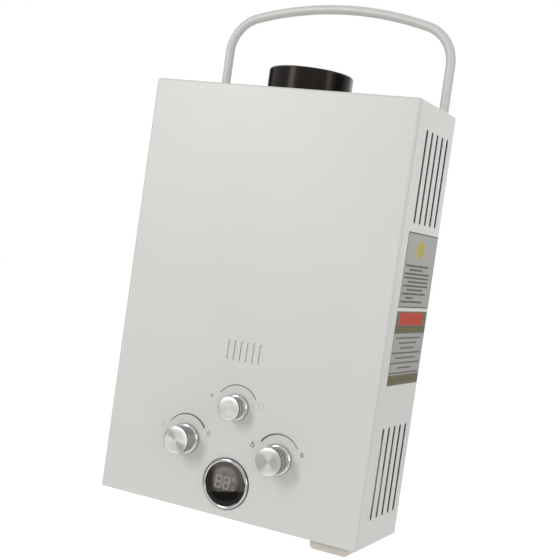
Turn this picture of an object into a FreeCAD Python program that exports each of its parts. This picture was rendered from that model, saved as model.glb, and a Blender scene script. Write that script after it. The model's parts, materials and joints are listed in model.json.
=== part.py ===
# Wall-hung portable gas water heater with a folding carrying handle.
# Sizes are in millimetres and degrees. Places are measured in the case's own frame: x from its middle,
# y back from the front panel, z up from its lower edge. Each finished piece is then carried to the frame
# whose origin is the middle of the four wall screws on the wall plane, with +Y into the wall.
import FreeCAD, Part
import Sketcher
import math
import os
import re

SIZES = {
    # Sheet-metal case
    "case_width": 290, "case_depth": 110, "case_height": 430, "sheet": 0.8,
    "edge_radius": 3, "top_radius": 2.5, "rear_flange": 14, "bottom_lip": 14,
    # Back plate, base plate and the screws that close the case
    "back_sheet": 1, "back_inset": 1.5, "base_sheet": 1, "base_flange": 10, "base_margin": 0.4,
    "screw_radius": 1.9, "screw_head_radius": 3.5, "screw_head": 2, "screw_length": 7,
    "rear_screw_inset": 5.5, "rear_screw_low": 30, "rear_screw_drop": 45, "base_screw_depth": 8,
    "base_screw_inner": 40, "base_screw_inset": 35,
    # Clearances between pieces
    "running_fit": 0.05, "body_gap": 0.3, "hole_gap": 0.1,
    # Wall hanging
    "wall_gap": 12, "screw_span_wide": 160, "hanger_margin": 35, "wall_hole": 3.25,
    "hanger_length": 190, "hanger_web": 28, "hanger_foot": 9, "hanger_sheet": 1.5,
    "rivet_radius": 2, "rivet_head_radius": 3.6, "rivet_head": 1.2, "rivet_span": 150,
    # Carrying handle
    "handle_inset": 15.7, "handle_tube": 5, "handle_wall": 1, "handle_rise": 105, "handle_arch": 372,
    "handle_corner": 40, "pivot_drop": 25, "pivot_radius": 2.5, "pivot_head_radius": 3.7,
    "pivot_head": 3, "lug_sheet": 2.5, "lug_height": 20, "lug_foot": 18,
    # Side and front openings
    "louvre_width": 5.5, "louvre_count": 5, "louvre_pitch": 16, "louvre_front": 30,
    "louvre_length": 90.3, "louvre_margin": 25.5, "view_count": 6, "view_pitch": 7, "view_width": 3,
    "view_drop": 6, "view_length": 20, "window_margin": 8, "window_sheet": 1.2,
    # Flue
    "flue_radius": 43.5, "flue_bore": 40.3, "flue_centre": 63, "flue_rise": 25.5, "flue_roll": 1.5,
    "hood_straight": 27, "hood_slope": 40, "hood_top_width": 104, "hood_hole": 38.5,
    # Heat exchanger
    "shell_gap": 53, "shell_front": 22, "shell_rear_gap": 6, "shell_sheet": 1, "shell_height": 183,
    "fin_drop": 45, "fin_thickness": 0.6, "fin_count": 25, "fin_edge": 8, "fin_margin": 1.5,
    "tube_radius": 7, "tube_wall": 1, "tube_edge": 17, "tube_drop": 23, "tube_reach": 6,
    "pipe_radius": 6, "pipe_bend": 10, "cold_pipe_inset": 25, "hot_pipe_inset": 27,
    # Burner
    "burner_height": 38, "burner_sheet": 1.2, "rail_height": 4, "rail_width": 8,
    "rail_inset": 8, "bar_count": 11, "bar_edge": 17, "bar_width": 8, "bar_height": 30, "bar_inset": 3,
    "bar_slit": 1.5, "bar_slit_count": 10, "bar_slit_pitch": 6.5, "bar_slit_depth": 5, "mouth_height": 12,
    "mouth_depth": 9, "lug_width": 16, "manifold_front": 8, "manifold_depth": 10, "manifold_height": 16,
    "manifold_end_gap": 4, "manifold_wall": 1.5, "manifold_stub": 8.35, "jet_rise": 16, "jet_radius": 2.5,
    "jet_length": 6, "jet_bore": 0.5, "jet_hole": 4, "electrode_radius": 3.2, "electrode_flange": 6,
    "electrode_boot": 4.5, "electrode_right": 50, "electrode_rise": 8, "electrode_pitch": 20,
    "electrode_step": 14, "electrode_neck": 14, "electrode_tip": 0.6,
    # Controls on the front
    "side_knob_spread": 52, "side_knob_height": 68.6, "knob_rise": 41.75, "knob_radius": 13.9,
    "knob_length": 20.3, "season_radius": 11.8, "season_length": 16.75, "bezel_height": 5,
    "bezel_flare": 1.9, "bezel_round": 2.8, "knob_groove": 0.6, "face_height": 3, "face_chamfer": 1.2,
    "skirt_step": 0.35,
    "rib_count": 36, "rib_radius": 0.45, "spindle_radius": 3, "spindle_hole": 5, "spindle_flat": 0.8,
    # Display
    "display_height": 33.4, "display_radius": 25.8, "display_rise": 2.6, "lens_radius": 21.9,
    "lens_height": 1.4, "display_hole": 21.8, "display_sleeve": 19.5, "display_reach": 8,
    "module_width": 52, "module_height": 43, "module_depth": 15,
    # Gas and water valves
    "valve_axis": 62, "valve_height": 38, "valve_depth": 34, "gas_valve_left": 84, "gas_valve_right": 24,
    "water_valve_right": 84, "disc_radius": 30, "disc_inner": 22, "cover_left": 8, "cover_right": 20,
    "cover_wall": 4.5, "diaphragm_radius": 29, "diaphragm_sheet": 1.6, "flange_width": 12,
    "chamber_depth": 8.4, "plate_radius": 15, "plate_sheet": 3, "rod_radius": 2.5, "rod_tip": 36,
    "rod_stroke": 4, "collar_radius": 8, "collar_left": 6, "collar_width": 3, "spring_radius": 4.6,
    "spring_wire": 0.6, "spring_turns": 6, "season_width": 30, "season_front": 8, "season_depth": 28,
    "season_tall": 26.6, "riser_left": 46, "riser_radius": 6, "riser_wall": 1.5, "riser_bend": 10,
    "bore_depth": 18,
    "solenoid_radius": 11, "solenoid_length": 26, "plunger_radius": 4, "plunger_length": 28,
    "plunger_inside": 10, "plunger_stroke": 3,
    "switch_left": 24, "switch_right": 2, "switch_depth": 16, "switch_lift": 2, "switch_height": 11,
    "switch_tab": 10, "switch_tab_sheet": 2, "lever_width": 4, "lever_sheet": 0.8, "lever_rise": 16,
    "lever_pin": 1, "ear_sheet": 1.6, "ear_drop": 4,
    # Water and gas connectors
    "connector_depth": 70, "thread_radius": 10.48, "connector_bore": 7, "connector_drop": 16,
    "shoulder_radius": 11.5, "shoulder_drop": 1.5, "connector_flange": 14, "connector_flange_height": 4,
    "connector_body": 9, "cold_inlet_right": 60, "outlet_right": 70,
    "hot_outlet_head": 40, "nut_radius": 10, "nut_height": 9, "filter_flange": 2, "filter_wall": 0.6,
    "filter_length": 18, "filter_radius": 6, "drain_right": 38, "drain_boss": 7, "drain_bore": 4.2,
    "drain_foot": 6, "drain_head": 8, "drain_drop": 10, "drain_stem": 24, "seal_radius": 0.7,
    "seal_height": 14, "sensor_radius": 3.5, "sensor_length": 14, "sensor_height": 24,
    "cutoff_radius": 8, "cutoff_height": 6, "cutoff_rise": 88,
    # Igniter, batteries and leads
    "battery_inset": 13.6, "battery_width": 41.4, "battery_front": 20, "battery_length": 72,
    "battery_head": 63, "battery_foot": 6, "battery_drop": 13, "battery_wall": 1.5, "battery_rim": 4,
    "battery_corner": 5, "cell_radius": 16.6, "cell_length": 58, "cell_button": 5, "cell_button_rise": 3,
    "hinge_offset": 2.2, "hinge_drop": 7, "hinge_pin": 1, "hinge_knuckle": 1.9, "hinge_ear": 4,
    "hinge_span": 28, "igniter_inset": 7, "igniter_width": 46, "igniter_front": 8, "igniter_depth": 42,
    "igniter_height": 37, "lead_radius": 1.5, "lead_bend": 9, "lead_inset": 20, "lead_pitch": 14,
    "lead_depth": 14, "display_lead_gap": 16, "display_lead_height": 34,
}

# Sizes and places that follow from the ones above; the sheet works them out
PLACES = {
    "screw_centre": "case_height / 2",
    "screw_span_high": "case_height - 2 * hanger_margin",
    "rear_screw_side": "case_width / 2 - rear_screw_inset",
    "rear_screw_high": "case_height - rear_screw_drop",
    "base_screw_outer": "case_width / 2 - base_screw_inset",
    "handle_half": "case_width / 2 - handle_inset",
    "handle_top": "case_height + handle_rise",
    "pivot_height": "case_height - pivot_drop",
    "upper_louvre_head": "case_height - louvre_margin",
    "upper_louvre_foot": "upper_louvre_head - louvre_length",
    "lower_louvre_head": "louvre_margin + louvre_length",
    "season_height": "side_knob_height + knob_rise",
    "lever_pivot": "side_knob_height + lever_rise",
    "switch_foot": "lever_pivot + switch_lift",
    "valve_foot": "side_knob_height - valve_height / 2 + 1",
    "valve_head": "valve_foot + valve_height",
    "season_foot": "season_height - season_tall / 2",
    "season_head": "season_foot + season_tall",
    "manifold_foot": "season_head + manifold_stub",
    "jet_height": "manifold_foot + manifold_height / 2",
    "burner_foot": "jet_height - jet_rise",
    "shell_foot": "burner_foot + burner_height",
    "shell_head": "shell_foot + shell_height",
    "hood_top": "shell_head + hood_straight + hood_slope",
    "shell_width": "case_width - 2 * shell_gap",
    "shell_depth": "case_depth - shell_front - shell_rear_gap",
    "fin_foot": "shell_head - fin_drop",
    "fin_pitch": "(shell_width - 2 * fin_edge) / (fin_count - 1)",
    "tube_front": "shell_front + tube_edge",
    "tube_pitch": "shell_depth / 2 - tube_edge",
    "tube_height": "shell_head - tube_drop",
    "cold_pipe_side": "case_width / 2 - cold_pipe_inset",
    "hot_pipe_side": "case_width / 2 - hot_pipe_inset",
    "bar_pitch": "(shell_width - 2 * bar_edge) / (bar_count - 1)",
    "manifold_length": "shell_width - 2 * manifold_end_gap",
    "electrode_low": "shell_foot + electrode_rise",
    "cutoff_centre": "shell_foot + cutoff_rise",
    "view_foot": "shell_foot - view_drop",
    "view_head": "view_foot + view_length",
    "battery_left": "case_width / 2 - battery_inset - battery_width",
    "igniter_left": "case_width / 2 - igniter_inset - igniter_width",
    "lead_right": "igniter_left + lead_inset",
    "display_lead_right": "igniter_left - display_lead_gap",
}

doc = FreeCAD.newDocument("gas_water_heater")
sheet_object = doc.addObject("Spreadsheet::Sheet", "Sizes")
formulas = {alias: "=" + formula for alias, formula in PLACES.items()}
for row, (alias, value) in enumerate({**SIZES, **formulas}.items(), start=1):
    sheet_object.set(f"A{row}", alias)
    sheet_object.set(f"B{row}", str(value))
    sheet_object.setAlias(f"B{row}", alias)
doc.recompute()

# Places that several pieces share, each worked out from the sheet
WALL_PLANE = "(case_depth + wall_gap)"
BACK_FACE = "(case_depth + back_sheet)"
INNER_HALF = "(case_width / 2 - sheet)"
BASE_TOP = "(sheet + base_sheet)"
VALVE_FRONT = "(valve_axis - valve_depth / 2)"
VALVE_BACK = "(valve_axis + valve_depth / 2)"
SHELL_BACK = "(shell_front + shell_depth)"
BAR_FOOT = "(burner_foot + rail_height)"
MANIFOLD_BACK = "(manifold_front + manifold_depth)"
HANDLE_PLANE = f"({BACK_FACE} + body_gap + handle_tube)"
LUG_OUTSIDE = "(handle_half - handle_tube - body_gap)"
DIAPHRAGM_RIGHT = "(cover_right + diaphragm_sheet)"
HINGE_LINE = "(battery_front + battery_length + hinge_offset)"
BATTERY_MIDDLE = "(battery_left + battery_width / 2)"
IGNITER_FOOT = "(battery_head + body_gap)"
IGNITER_HEAD = "(battery_head + body_gap + igniter_height)"

# Turns that lay a piece's own Z along each axis: rotation axis and angle
ALONG = {
    "+Z": ((1, 0, 0), 0), "-Z": ((1, 0, 0), 180), "+X": ((0, 1, 0), 90),
    "-X": ((0, 1, 0), -90), "+Y": ((1, 0, 0), -90), "-Y": ((1, 0, 0), 90),
}
NEARLY = 0.01
BEYOND = 5
START_RADIUS = 10

pieces = {}
places = {}


def size(name):
    """Read one cell of the sheet as a number."""
    return float(sheet_object.get(name))


def from_sheet(expression):
    """Write plain size names as references to the sheet's cells."""
    def cell(word):
        known = word.group() in SIZES or word.group() in PLACES
        return "Sizes." + word.group() if known else word.group()
    return re.sub(r"[a-z_]+", cell, str(expression))


def bind(thing, name, expression):
    thing.setExpression(name, from_sheet(expression))


def place(thing, x, y, z, along="+Z"):
    """Put an object at a point of the case, its own Z laid along an axis."""
    axis, angle = ALONG[along]
    turn = FreeCAD.Rotation(FreeCAD.Vector(*axis), angle)
    thing.Placement = FreeCAD.Placement(FreeCAD.Vector(), turn)
    for letter, value in zip("xyz", (x, y, z)):
        bind(thing, "Placement.Base." + letter, value)
    places[thing.Name] = (x, y, z)
    return thing


def piece(label, thing):
    """Name a finished piece and carry it to the wall-screw frame."""
    x, y, z = places.get(thing.Name, ("0", "0", "0"))
    thing.Label = label
    bind(thing, "Placement.Base.x", x)
    bind(thing, "Placement.Base.y", f"{y} - {WALL_PLANE}")
    bind(thing, "Placement.Base.z", f"{z} - screw_centre")
    pieces[label] = thing


def box(across, deep, high):
    """Block between two x, two y and two z values."""
    block = doc.addObject("Part::Box", "Block")
    for name, (low, top) in zip(("Length", "Width", "Height"), (across, deep, high)):
        bind(block, name, f"({top}) - ({low})")
    return place(block, f"({across[0]})", f"({deep[0]})", f"({high[0]})")


def middle_box(width, deep, high):
    return box((f"-({width}) / 2", f"({width}) / 2"), deep, high)


def rod(x, y, z, radius, length, along="+Z"):
    bar = doc.addObject("Part::Cylinder", "Rod")
    bind(bar, "Radius", radius)
    bind(bar, "Height", length)
    return place(bar, x, y, z, along)


def hexagon(x, y, z, radius, height, along="+Z"):
    prism = doc.addObject("Part::Prism", "Hexagon")
    prism.Polygon = 6
    bind(prism, "Circumradius", radius)
    bind(prism, "Height", height)
    return place(prism, x, y, z, along)


def ball(x, y, z, radius):
    sphere = doc.addObject("Part::Sphere", "Ball")
    bind(sphere, "Radius", radius)
    return place(sphere, x, y, z)


def ring(x, y, z, radius, wire, along="+Z"):
    torus = doc.addObject("Part::Torus", "Ring")
    bind(torus, "Radius1", radius)
    bind(torus, "Radius2", wire)
    return place(torus, x, y, z, along)


def joined(*solids):
    fuse = doc.addObject("Part::MultiFuse", "Joined")
    fuse.Shapes = list(solids)
    return fuse


def group(solids):
    """Separate solids kept together in one piece."""
    together = doc.addObject("Part::Compound", "Group")
    together.Links = list(solids)
    return together


def cut(base, *tools):
    removed = doc.addObject("Part::Cut", "Cut")
    removed.Base = base
    removed.Tool = tools[0] if len(tools) == 1 else group(tools)
    return removed


def origin_plane(body, role):
    return next(item for item in body.Origin.OriginFeatures if item.Role == role)


def new_sketch(body, role, name):
    drawing = body.newObject("Sketcher::SketchObject", name)
    drawing.AttachmentSupport = [(origin_plane(body, role), "")]
    drawing.MapMode = "FlatFace"
    return drawing


def fix(drawing, kind, geometry, end, value, start=1.0):
    """Hold a sketch point at a distance from the origin, or on the axis where the distance is none."""
    if str(value) == "0":
        axis = -2 if kind == "DistanceX" else -1
        drawing.addConstraint(Sketcher.Constraint("PointOnObject", geometry, end, axis))
        return
    number = drawing.addConstraint(Sketcher.Constraint(kind, -1, 1, geometry, end, start))
    bind(drawing, f"Constraints[{number}]", value)


def set_radius(drawing, geometry, value, start=1.0):
    number = drawing.addConstraint(Sketcher.Constraint("Radius", geometry, start))
    bind(drawing, f"Constraints[{number}]", value)


def outline(body, role, points):
    """Closed sketch through corners given as pairs of expressions."""
    drawing = new_sketch(body, role, "Outline")
    count = len(points)
    corners = []
    for number in range(count):
        angle = 2 * math.pi * number / count
        corners.append(FreeCAD.Vector(START_RADIUS * math.cos(angle), START_RADIUS * math.sin(angle), 0))
    for number in range(count):
        drawing.addGeometry(Part.LineSegment(corners[number], corners[(number + 1) % count]), False)
    for number in range(count):
        drawing.addConstraint(Sketcher.Constraint("Coincident", number, 2, (number + 1) % count, 1))
    for number, (first, second) in enumerate(points):
        fix(drawing, "DistanceX", number, 1, first)
        fix(drawing, "DistanceY", number, 1, second)
    return drawing


def turned(profile, x, y, z, along="+Z"):
    """Body of revolution; profile points are (radius, height) about its own Z."""
    body = doc.addObject("PartDesign::Body", "Turned")
    drawing = outline(body, "XZ_Plane", profile)
    turn = body.newObject("PartDesign::Revolution", "Turn")
    turn.Profile = drawing
    turn.ReferenceAxis = (drawing, ["V_Axis"])
    turn.Angle = 360
    return place(body, x, y, z, along)


def extruded(role, points, start, length):
    """Sheet or bar of one outline on a plane of the case, moved by start along its normal."""
    body = doc.addObject("PartDesign::Body", "Extruded")
    pad = body.newObject("PartDesign::Pad", "Pad")
    pad.Profile = outline(body, role, points)
    pad.Reversed = role == "XZ_Plane"
    bind(pad, "Length", length)
    shift = {"XY_Plane": ("0", "0", start), "XZ_Plane": ("0", start, "0"), "YZ_Plane": (start, "0", "0")}
    place(body, *shift[role])
    return body


def round_edges(body, radius, wanted):
    """Fillet the edges of a body's last feature that the given test picks."""
    doc.recompute()
    base = body.Tip
    names = [f"Edge{number}" for number, edge in enumerate(base.Shape.Edges, 1) if wanted(edge.BoundBox)]
    fillet = body.newObject("PartDesign::Fillet", "Fillet")
    fillet.Base = (base, names)
    bind(fillet, "Radius", radius)
    doc.recompute()
    return body


def slot_row(role, middle, foot, head, width, depth, count, pitch):
    """Round-ended upright slots in a row, as one cutting body centred on the sketch plane."""
    body = doc.addObject("PartDesign::Body", "SlotRow")
    drawing = new_sketch(body, role, "Slot")
    up = FreeCAD.Vector(0, 0, 1)
    low = Part.Circle(FreeCAD.Vector(0, 0, 0), up, 1)
    high = Part.Circle(FreeCAD.Vector(0, START_RADIUS, 0), up, 1)
    drawing.addGeometry(Part.ArcOfCircle(high, 0, math.pi), False)
    drawing.addGeometry(Part.ArcOfCircle(low, math.pi, 2 * math.pi), False)
    drawing.addGeometry(Part.LineSegment(FreeCAD.Vector(-1, START_RADIUS, 0), FreeCAD.Vector(-1, 0, 0)),
                        False)
    drawing.addGeometry(Part.LineSegment(FreeCAD.Vector(1, 0, 0), FreeCAD.Vector(1, START_RADIUS, 0)), False)
    for first, end, second, start in ((0, 2, 2, 1), (2, 2, 1, 1), (1, 2, 3, 1), (3, 2, 0, 1)):
        drawing.addConstraint(Sketcher.Constraint("Coincident", first, end, second, start))
    for arc, rise in ((0, f"({head}) - ({width}) / 2"), (1, f"({foot}) + ({width}) / 2")):
        fix(drawing, "DistanceX", arc, 3, middle)
        fix(drawing, "DistanceY", arc, 3, rise)
        set_radius(drawing, arc, f"({width}) / 2")
        drawing.addConstraint(Sketcher.Constraint("Horizontal", arc, 1, arc, 3))
        drawing.addConstraint(Sketcher.Constraint("Horizontal", arc, 2, arc, 3))
    pad = body.newObject("PartDesign::Pad", "Pad")
    pad.Profile = drawing
    pad.Midplane = True
    bind(pad, "Length", depth)
    repeat = body.newObject("PartDesign::LinearPattern", "Row")
    repeat.Originals = [pad]
    repeat.Direction = (drawing, ["H_Axis"])
    bind(repeat, "Occurrences", count)
    bind(repeat, "Length", f"({pitch}) * (({count}) - 1)")
    body.Tip = repeat
    return body


def bent_path(points, radius):
    """Straight runs joined by tangent arcs of one radius."""
    corners = [FreeCAD.Vector(*point) for point in points]
    edges = []
    start = corners[0]
    for before, corner, after in zip(corners, corners[1:], corners[2:]):
        back = (before - corner).normalize()
        ahead = (after - corner).normalize()
        half = back.getAngle(ahead) / 2
        reach = radius / math.tan(half)
        middle = corner + (back + ahead).normalize() * (radius / math.sin(half) - radius)
        entry = corner + back * reach
        leave = corner + ahead * reach
        edges.append(Part.LineSegment(start, entry).toShape())
        edges.append(Part.Arc(entry, middle, leave).toShape())
        start = leave
    edges.append(Part.LineSegment(start, corners[-1]).toShape())
    return Part.Wire(edges)


def swept(points, bend, radius):
    path = bent_path(points, bend)
    heading = FreeCAD.Vector(*points[1]) - FreeCAD.Vector(*points[0])
    circle = Part.Wire([Part.makeCircle(radius, FreeCAD.Vector(*points[0]), heading)])
    return path.makePipeShell([circle], True, False)


def shaped(shape, x="0", y="0", z="0", along="+Z"):
    """Piece whose swept shape is worked out here from the sheet."""
    feature = doc.addObject("Part::Feature", "Swept")
    feature.Shape = shape
    return place(feature, x, y, z, along)


def pipe(points, bend, radius, wall=0):
    solid = swept(points, bend, radius)
    if wall:
        solid = solid.cut(swept(points, bend, radius - wall))
    return shaped(solid)


def case_solid(inset, drop, rear):
    """Outer form of the folded cover, or the hollow in it where inset is the sheet."""
    half = f"(case_width / 2 - {inset})"
    top = f"(case_height - {inset})"
    corners = [(f"-{half}", f"-{drop}"), (half, f"-{drop}"), (half, top), (f"-{half}", top)]
    body = extruded("XZ_Plane", corners, inset, f"({rear}) - ({inset})")
    upright = size("case_height") / 2
    round_edges(body, f"edge_radius - {inset}",
                lambda bounds: bounds.ZLength > upright and bounds.YMax < NEARLY)
    top_height = size("case_height") - (size(inset) if inset in SIZES else 0)
    depth = size("case_depth")

    def rim(bounds):
        return bounds.ZMin > top_height - NEARLY and bounds.YMin < depth - NEARLY
    return round_edges(body, f"top_radius - {inset}", rim)


def build_case():
    """Front cover, back plate and base plate, and the screws that hold them."""
    rear_low = "(case_depth - sheet)"
    flanges = []
    for side in ("-", ""):
        flanges.append(ordered_box(side, ("case_width / 2 - rear_flange", "case_width / 2"),
                                   (rear_low, "case_depth"), ("0", "case_height - top_radius")))
    flanges.append(middle_box("case_width - 2 * top_radius", (rear_low, "case_depth"),
                              ("case_height - rear_flange", "case_height - sheet / 2")))
    lip = middle_box("case_width - 2 * edge_radius", ("sheet / 2", "bottom_lip"), ("0", "sheet"))
    shell = cut(case_solid("0", "0", "case_depth"), case_solid("sheet", "sheet", "case_depth + sheet"))
    folded = joined(shell, lip, *flanges)
    through = "case_width + 2 * sheet + 10"
    louvres = [slot_row("YZ_Plane", "louvre_front", foot, head, "louvre_width", through, "louvre_count",
                        "louvre_pitch")
               for foot, head in (("upper_louvre_foot", "upper_louvre_head"),
                                  ("louvre_margin", "lower_louvre_head"))]
    viewing = slot_row("XZ_Plane", "-view_pitch * (view_count - 1) / 2", "view_foot", "view_head",
                       "view_width", "4 * sheet", "view_count", "view_pitch")
    holes = [rod("0", "-sheet", height, radius, "3 * sheet", "+Y")
             for height, radius in (("season_height", "spindle_hole"), ("display_height", "display_hole"))]
    for side in ("-", ""):
        holes.append(rod(f"{side}side_knob_spread", "-sheet", "side_knob_height", "spindle_hole",
                         "3 * sheet", "+Y"))
    flue_hole = rod("0", "flue_centre", "case_height - 2 * sheet", "flue_radius + hole_gap", "4 * sheet")
    piece("front_cover", cut(folded, *louvres, viewing, *holes, flue_hole,
                             *screw_rods("screw_radius + hole_gap")))

    back = middle_box("case_width - 2 * back_inset", ("case_depth", BACK_FACE),
                      ("back_inset", "case_height - back_inset"))
    piece("back_plate", cut(back, *rear_screw_rods("screw_radius + hole_gap"),
                            *rivet_rods("rivet_radius + running_fit")))

    half = f"({INNER_HALF} - base_margin)"
    rear = f"({rear_low} - base_margin)"
    floor = box((f"-{half}", half), ("sheet + base_margin", rear), ("sheet", BASE_TOP))
    rim_high = ("sheet", "sheet + base_flange")
    sides = [box((f"-{half}", f"-{half} + base_sheet"), ("sheet + edge_radius", rear), rim_high),
             box((f"{half} - base_sheet", half), ("sheet + edge_radius", rear), rim_high),
             box((f"-{half}", half), (f"{rear} - base_sheet", rear), rim_high)]
    corners = [box((f"{low}", f"{top}"), ("0", "sheet + edge_radius"), ("0", "base_flange"))
               for low, top in ((f"-{half}", f"-{half} + edge_radius"), (f"{half} - edge_radius", half))]
    openings = [rod(x, y, "0", f"{radius} + body_gap", "base_flange") for x, y, radius in (
        ("-side_knob_spread", "connector_depth", "shoulder_radius"),
        ("cold_inlet_right", "connector_depth", "shoulder_radius"),
        ("-hot_pipe_side", "tube_front + 2 * tube_pitch", "shoulder_radius"),
        ("drain_right", "valve_axis", "drain_boss"))]
    battery_gap = box(("battery_left - body_gap", "battery_left + battery_width + body_gap"),
                      ("battery_front - body_gap", "battery_front + battery_length + body_gap"),
                      ("0", "base_flange"))
    piece("base_plate", cut(joined(floor, *sides), *corners, *openings, battery_gap,
                            *base_screw_rods("screw_radius + hole_gap")))

    screws = [joined(shank, head) for shank, head in zip(screw_rods("screw_radius"), screw_heads())]
    piece("cover_screws", group(screws))
    window = middle_box("view_pitch * view_count + 2 * window_margin",
                        ("sheet + body_gap", "sheet + body_gap + window_sheet"),
                        ("view_foot - window_margin", "view_head + window_margin"))
    piece("viewing_window", window)


def rear_screw_places():
    for side in ("-", ""):
        for height in ("rear_screw_low", "(rear_screw_low + rear_screw_high) / 2", "rear_screw_high"):
            yield f"{side}rear_screw_side", height


def base_screw_places():
    for side in ("-", ""):
        for spread in ("base_screw_inner", "base_screw_outer"):
            yield f"{side}{spread}"


def rear_screw_rods(radius):
    return [rod(x, f"{BACK_FACE} - screw_length", z, radius, "screw_length", "+Y")
            for x, z in rear_screw_places()]


def base_screw_rods(radius):
    return [rod(x, "base_screw_depth", "0", radius, "screw_length") for x in base_screw_places()]


def screw_rods(radius):
    return rear_screw_rods(radius) + base_screw_rods(radius)


def screw_heads():
    rear = [rod(x, BACK_FACE, z, "screw_head_radius", "screw_head", "+Y") for x, z in rear_screw_places()]
    base = [rod(x, "base_screw_depth", "0", "screw_head_radius", "screw_head", "-Z")
            for x in base_screw_places()]
    return rear + base


def rivet_places():
    """Rivets through the feet of both hangers."""
    for span in ("-", "+"):
        for foot in ("-", "+"):
            height = (f"(screw_centre {span} screw_span_high / 2 {foot} (hanger_web + hanger_foot) / 2)")
            for side in ("-", ""):
                yield f"{side}rivet_span / 2", height


def rivet_rods(radius):
    return [rod(x, "case_depth", z, radius, "back_sheet + hanger_sheet", "+Y") for x, z in rivet_places()]


def build_wall_fixing():
    """Hat-section hangers on the back plate, with the four wall-screw holes."""
    web = f"({WALL_PLANE} - hanger_sheet)"
    hangers = []
    for span in ("-", "+"):
        middle = f"(screw_centre {span} screw_span_high / 2)"
        inner = "(hanger_web / 2 - hanger_sheet)"
        outer = "(hanger_web / 2)"
        foot = "(hanger_web / 2 + hanger_foot)"
        profile = [(BACK_FACE, f"{middle} - {foot}"), (f"{BACK_FACE} + hanger_sheet", f"{middle} - {foot}"),
                   (f"{BACK_FACE} + hanger_sheet", f"{middle} - {outer}"),
                   (WALL_PLANE, f"{middle} - {outer}"),
                   (WALL_PLANE, f"{middle} + {outer}"),
                   (f"{BACK_FACE} + hanger_sheet", f"{middle} + {outer}"),
                   (f"{BACK_FACE} + hanger_sheet", f"{middle} + {foot}"), (BACK_FACE, f"{middle} + {foot}"),
                   (BACK_FACE, f"{middle} + {inner}"), (web, f"{middle} + {inner}"),
                   (web, f"{middle} - {inner}"), (BACK_FACE, f"{middle} - {inner}")]
        hat = extruded("YZ_Plane", profile, "-hanger_length / 2", "hanger_length")
        holes = [rod(f"{side}screw_span_wide / 2", f"{web} - {BEYOND}", middle,
                     "wall_hole", f"hanger_sheet + {2 * BEYOND}", "+Y") for side in ("-", "")]
        hangers.append(cut(hat, *holes))
    piece("hanger_brackets", cut(group(hangers), *rivet_rods("rivet_radius + running_fit")))
    rivets = []
    for shank, (x, z) in zip(rivet_rods("rivet_radius"), rivet_places()):
        head = rod(x, f"{BACK_FACE} + hanger_sheet", z, "rivet_head_radius", "rivet_head", "+Y")
        rivets.append(joined(shank, head))
    piece("hanger_rivets", group(rivets))


def build_handle():
    """Bent tube handle that swings back over the case, with its brackets and pivots."""
    arch_centre = "(handle_top - handle_arch)"
    body = doc.addObject("PartDesign::Body", "Handle")
    path = new_sketch(body, "XZ_Plane", "Path")
    draw_handle_path(path, arch_centre)
    profile = new_sketch(body, "XY_Plane", "Tube")
    profile.AttachmentOffset = FreeCAD.Placement()
    bind(profile, "AttachmentOffset.Base.z", "pivot_height")
    for radius in ("handle_tube", "handle_tube - handle_wall"):
        number = profile.addGeometry(Part.Circle(FreeCAD.Vector(-1, 0, 0), FreeCAD.Vector(0, 0, 1), 1), False)
        fix(profile, "DistanceX", number, 3, "-handle_half")
        fix(profile, "DistanceY", number, 3, "0")
        set_radius(profile, number, radius)
    doc.recompute()
    sweep = body.newObject("PartDesign::AdditivePipe", "Sweep")
    sweep.Profile = profile
    sweep.Spine = (path, [f"Edge{number}" for number in range(1, len(path.Shape.Edges) + 1)])
    place(body, "0", HANDLE_PLANE, "0")
    ends = [ball(f"{side}handle_half", HANDLE_PLANE, "pivot_height", "handle_tube") for side in ("-", "")]
    holes = [rod(f"{side}(handle_half + {2 * BEYOND})", HANDLE_PLANE, "pivot_height",
                 "pivot_radius + running_fit", f"{4 * BEYOND}", along)
             for side, along in (("-", "+X"), ("", "-X"))]
    piece("carry_handle", cut(joined(body, *ends), *holes))

    brackets = []
    pivots = []
    for side, outward, inward in (("-", "-X", "+X"), ("", "+X", "-X")):
        lug = ordered_box(side, (f"{LUG_OUTSIDE} - lug_sheet", LUG_OUTSIDE),
                          (BACK_FACE, f"{HANDLE_PLANE} + handle_tube"),
                          ("pivot_height - lug_height / 2", "pivot_height + lug_height / 2"))
        foot = ordered_box(side, (f"{LUG_OUTSIDE} - lug_foot", LUG_OUTSIDE),
                           (BACK_FACE, f"{BACK_FACE} + hanger_sheet"),
                           ("pivot_height - lug_height / 2", "pivot_height + lug_height / 2"))
        hole = rod(f"{side}({LUG_OUTSIDE} + {BEYOND})", HANDLE_PLANE, "pivot_height",
                   "pivot_radius + running_fit", f"lug_sheet + {2 * BEYOND}", inward)
        brackets.append(cut(joined(lug, foot), hole))
        inner_face = f"{side}({LUG_OUTSIDE} - lug_sheet)"
        outer_face = f"{side}(handle_half + handle_tube + body_gap)"
        shank = rod(inner_face, HANDLE_PLANE, "pivot_height", "pivot_radius",
                    "lug_sheet + 2 * body_gap + 2 * handle_tube", outward)
        head = rod(inner_face, HANDLE_PLANE, "pivot_height", "pivot_head_radius", "pivot_head", inward)
        nut = rod(outer_face, HANDLE_PLANE, "pivot_height", "pivot_head_radius", "pivot_head", outward)
        pivots.append(joined(shank, head, nut))
    piece("handle_brackets", group(brackets))
    piece("handle_pivots", group(pivots))


def ordered_box(side, across, deep, high):
    """Box on the left or right of the middle, from sizes given for the right."""
    if side:
        return box((f"-({across[1]})", f"-({across[0]})"), deep, high)
    return box(across, deep, high)


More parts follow.
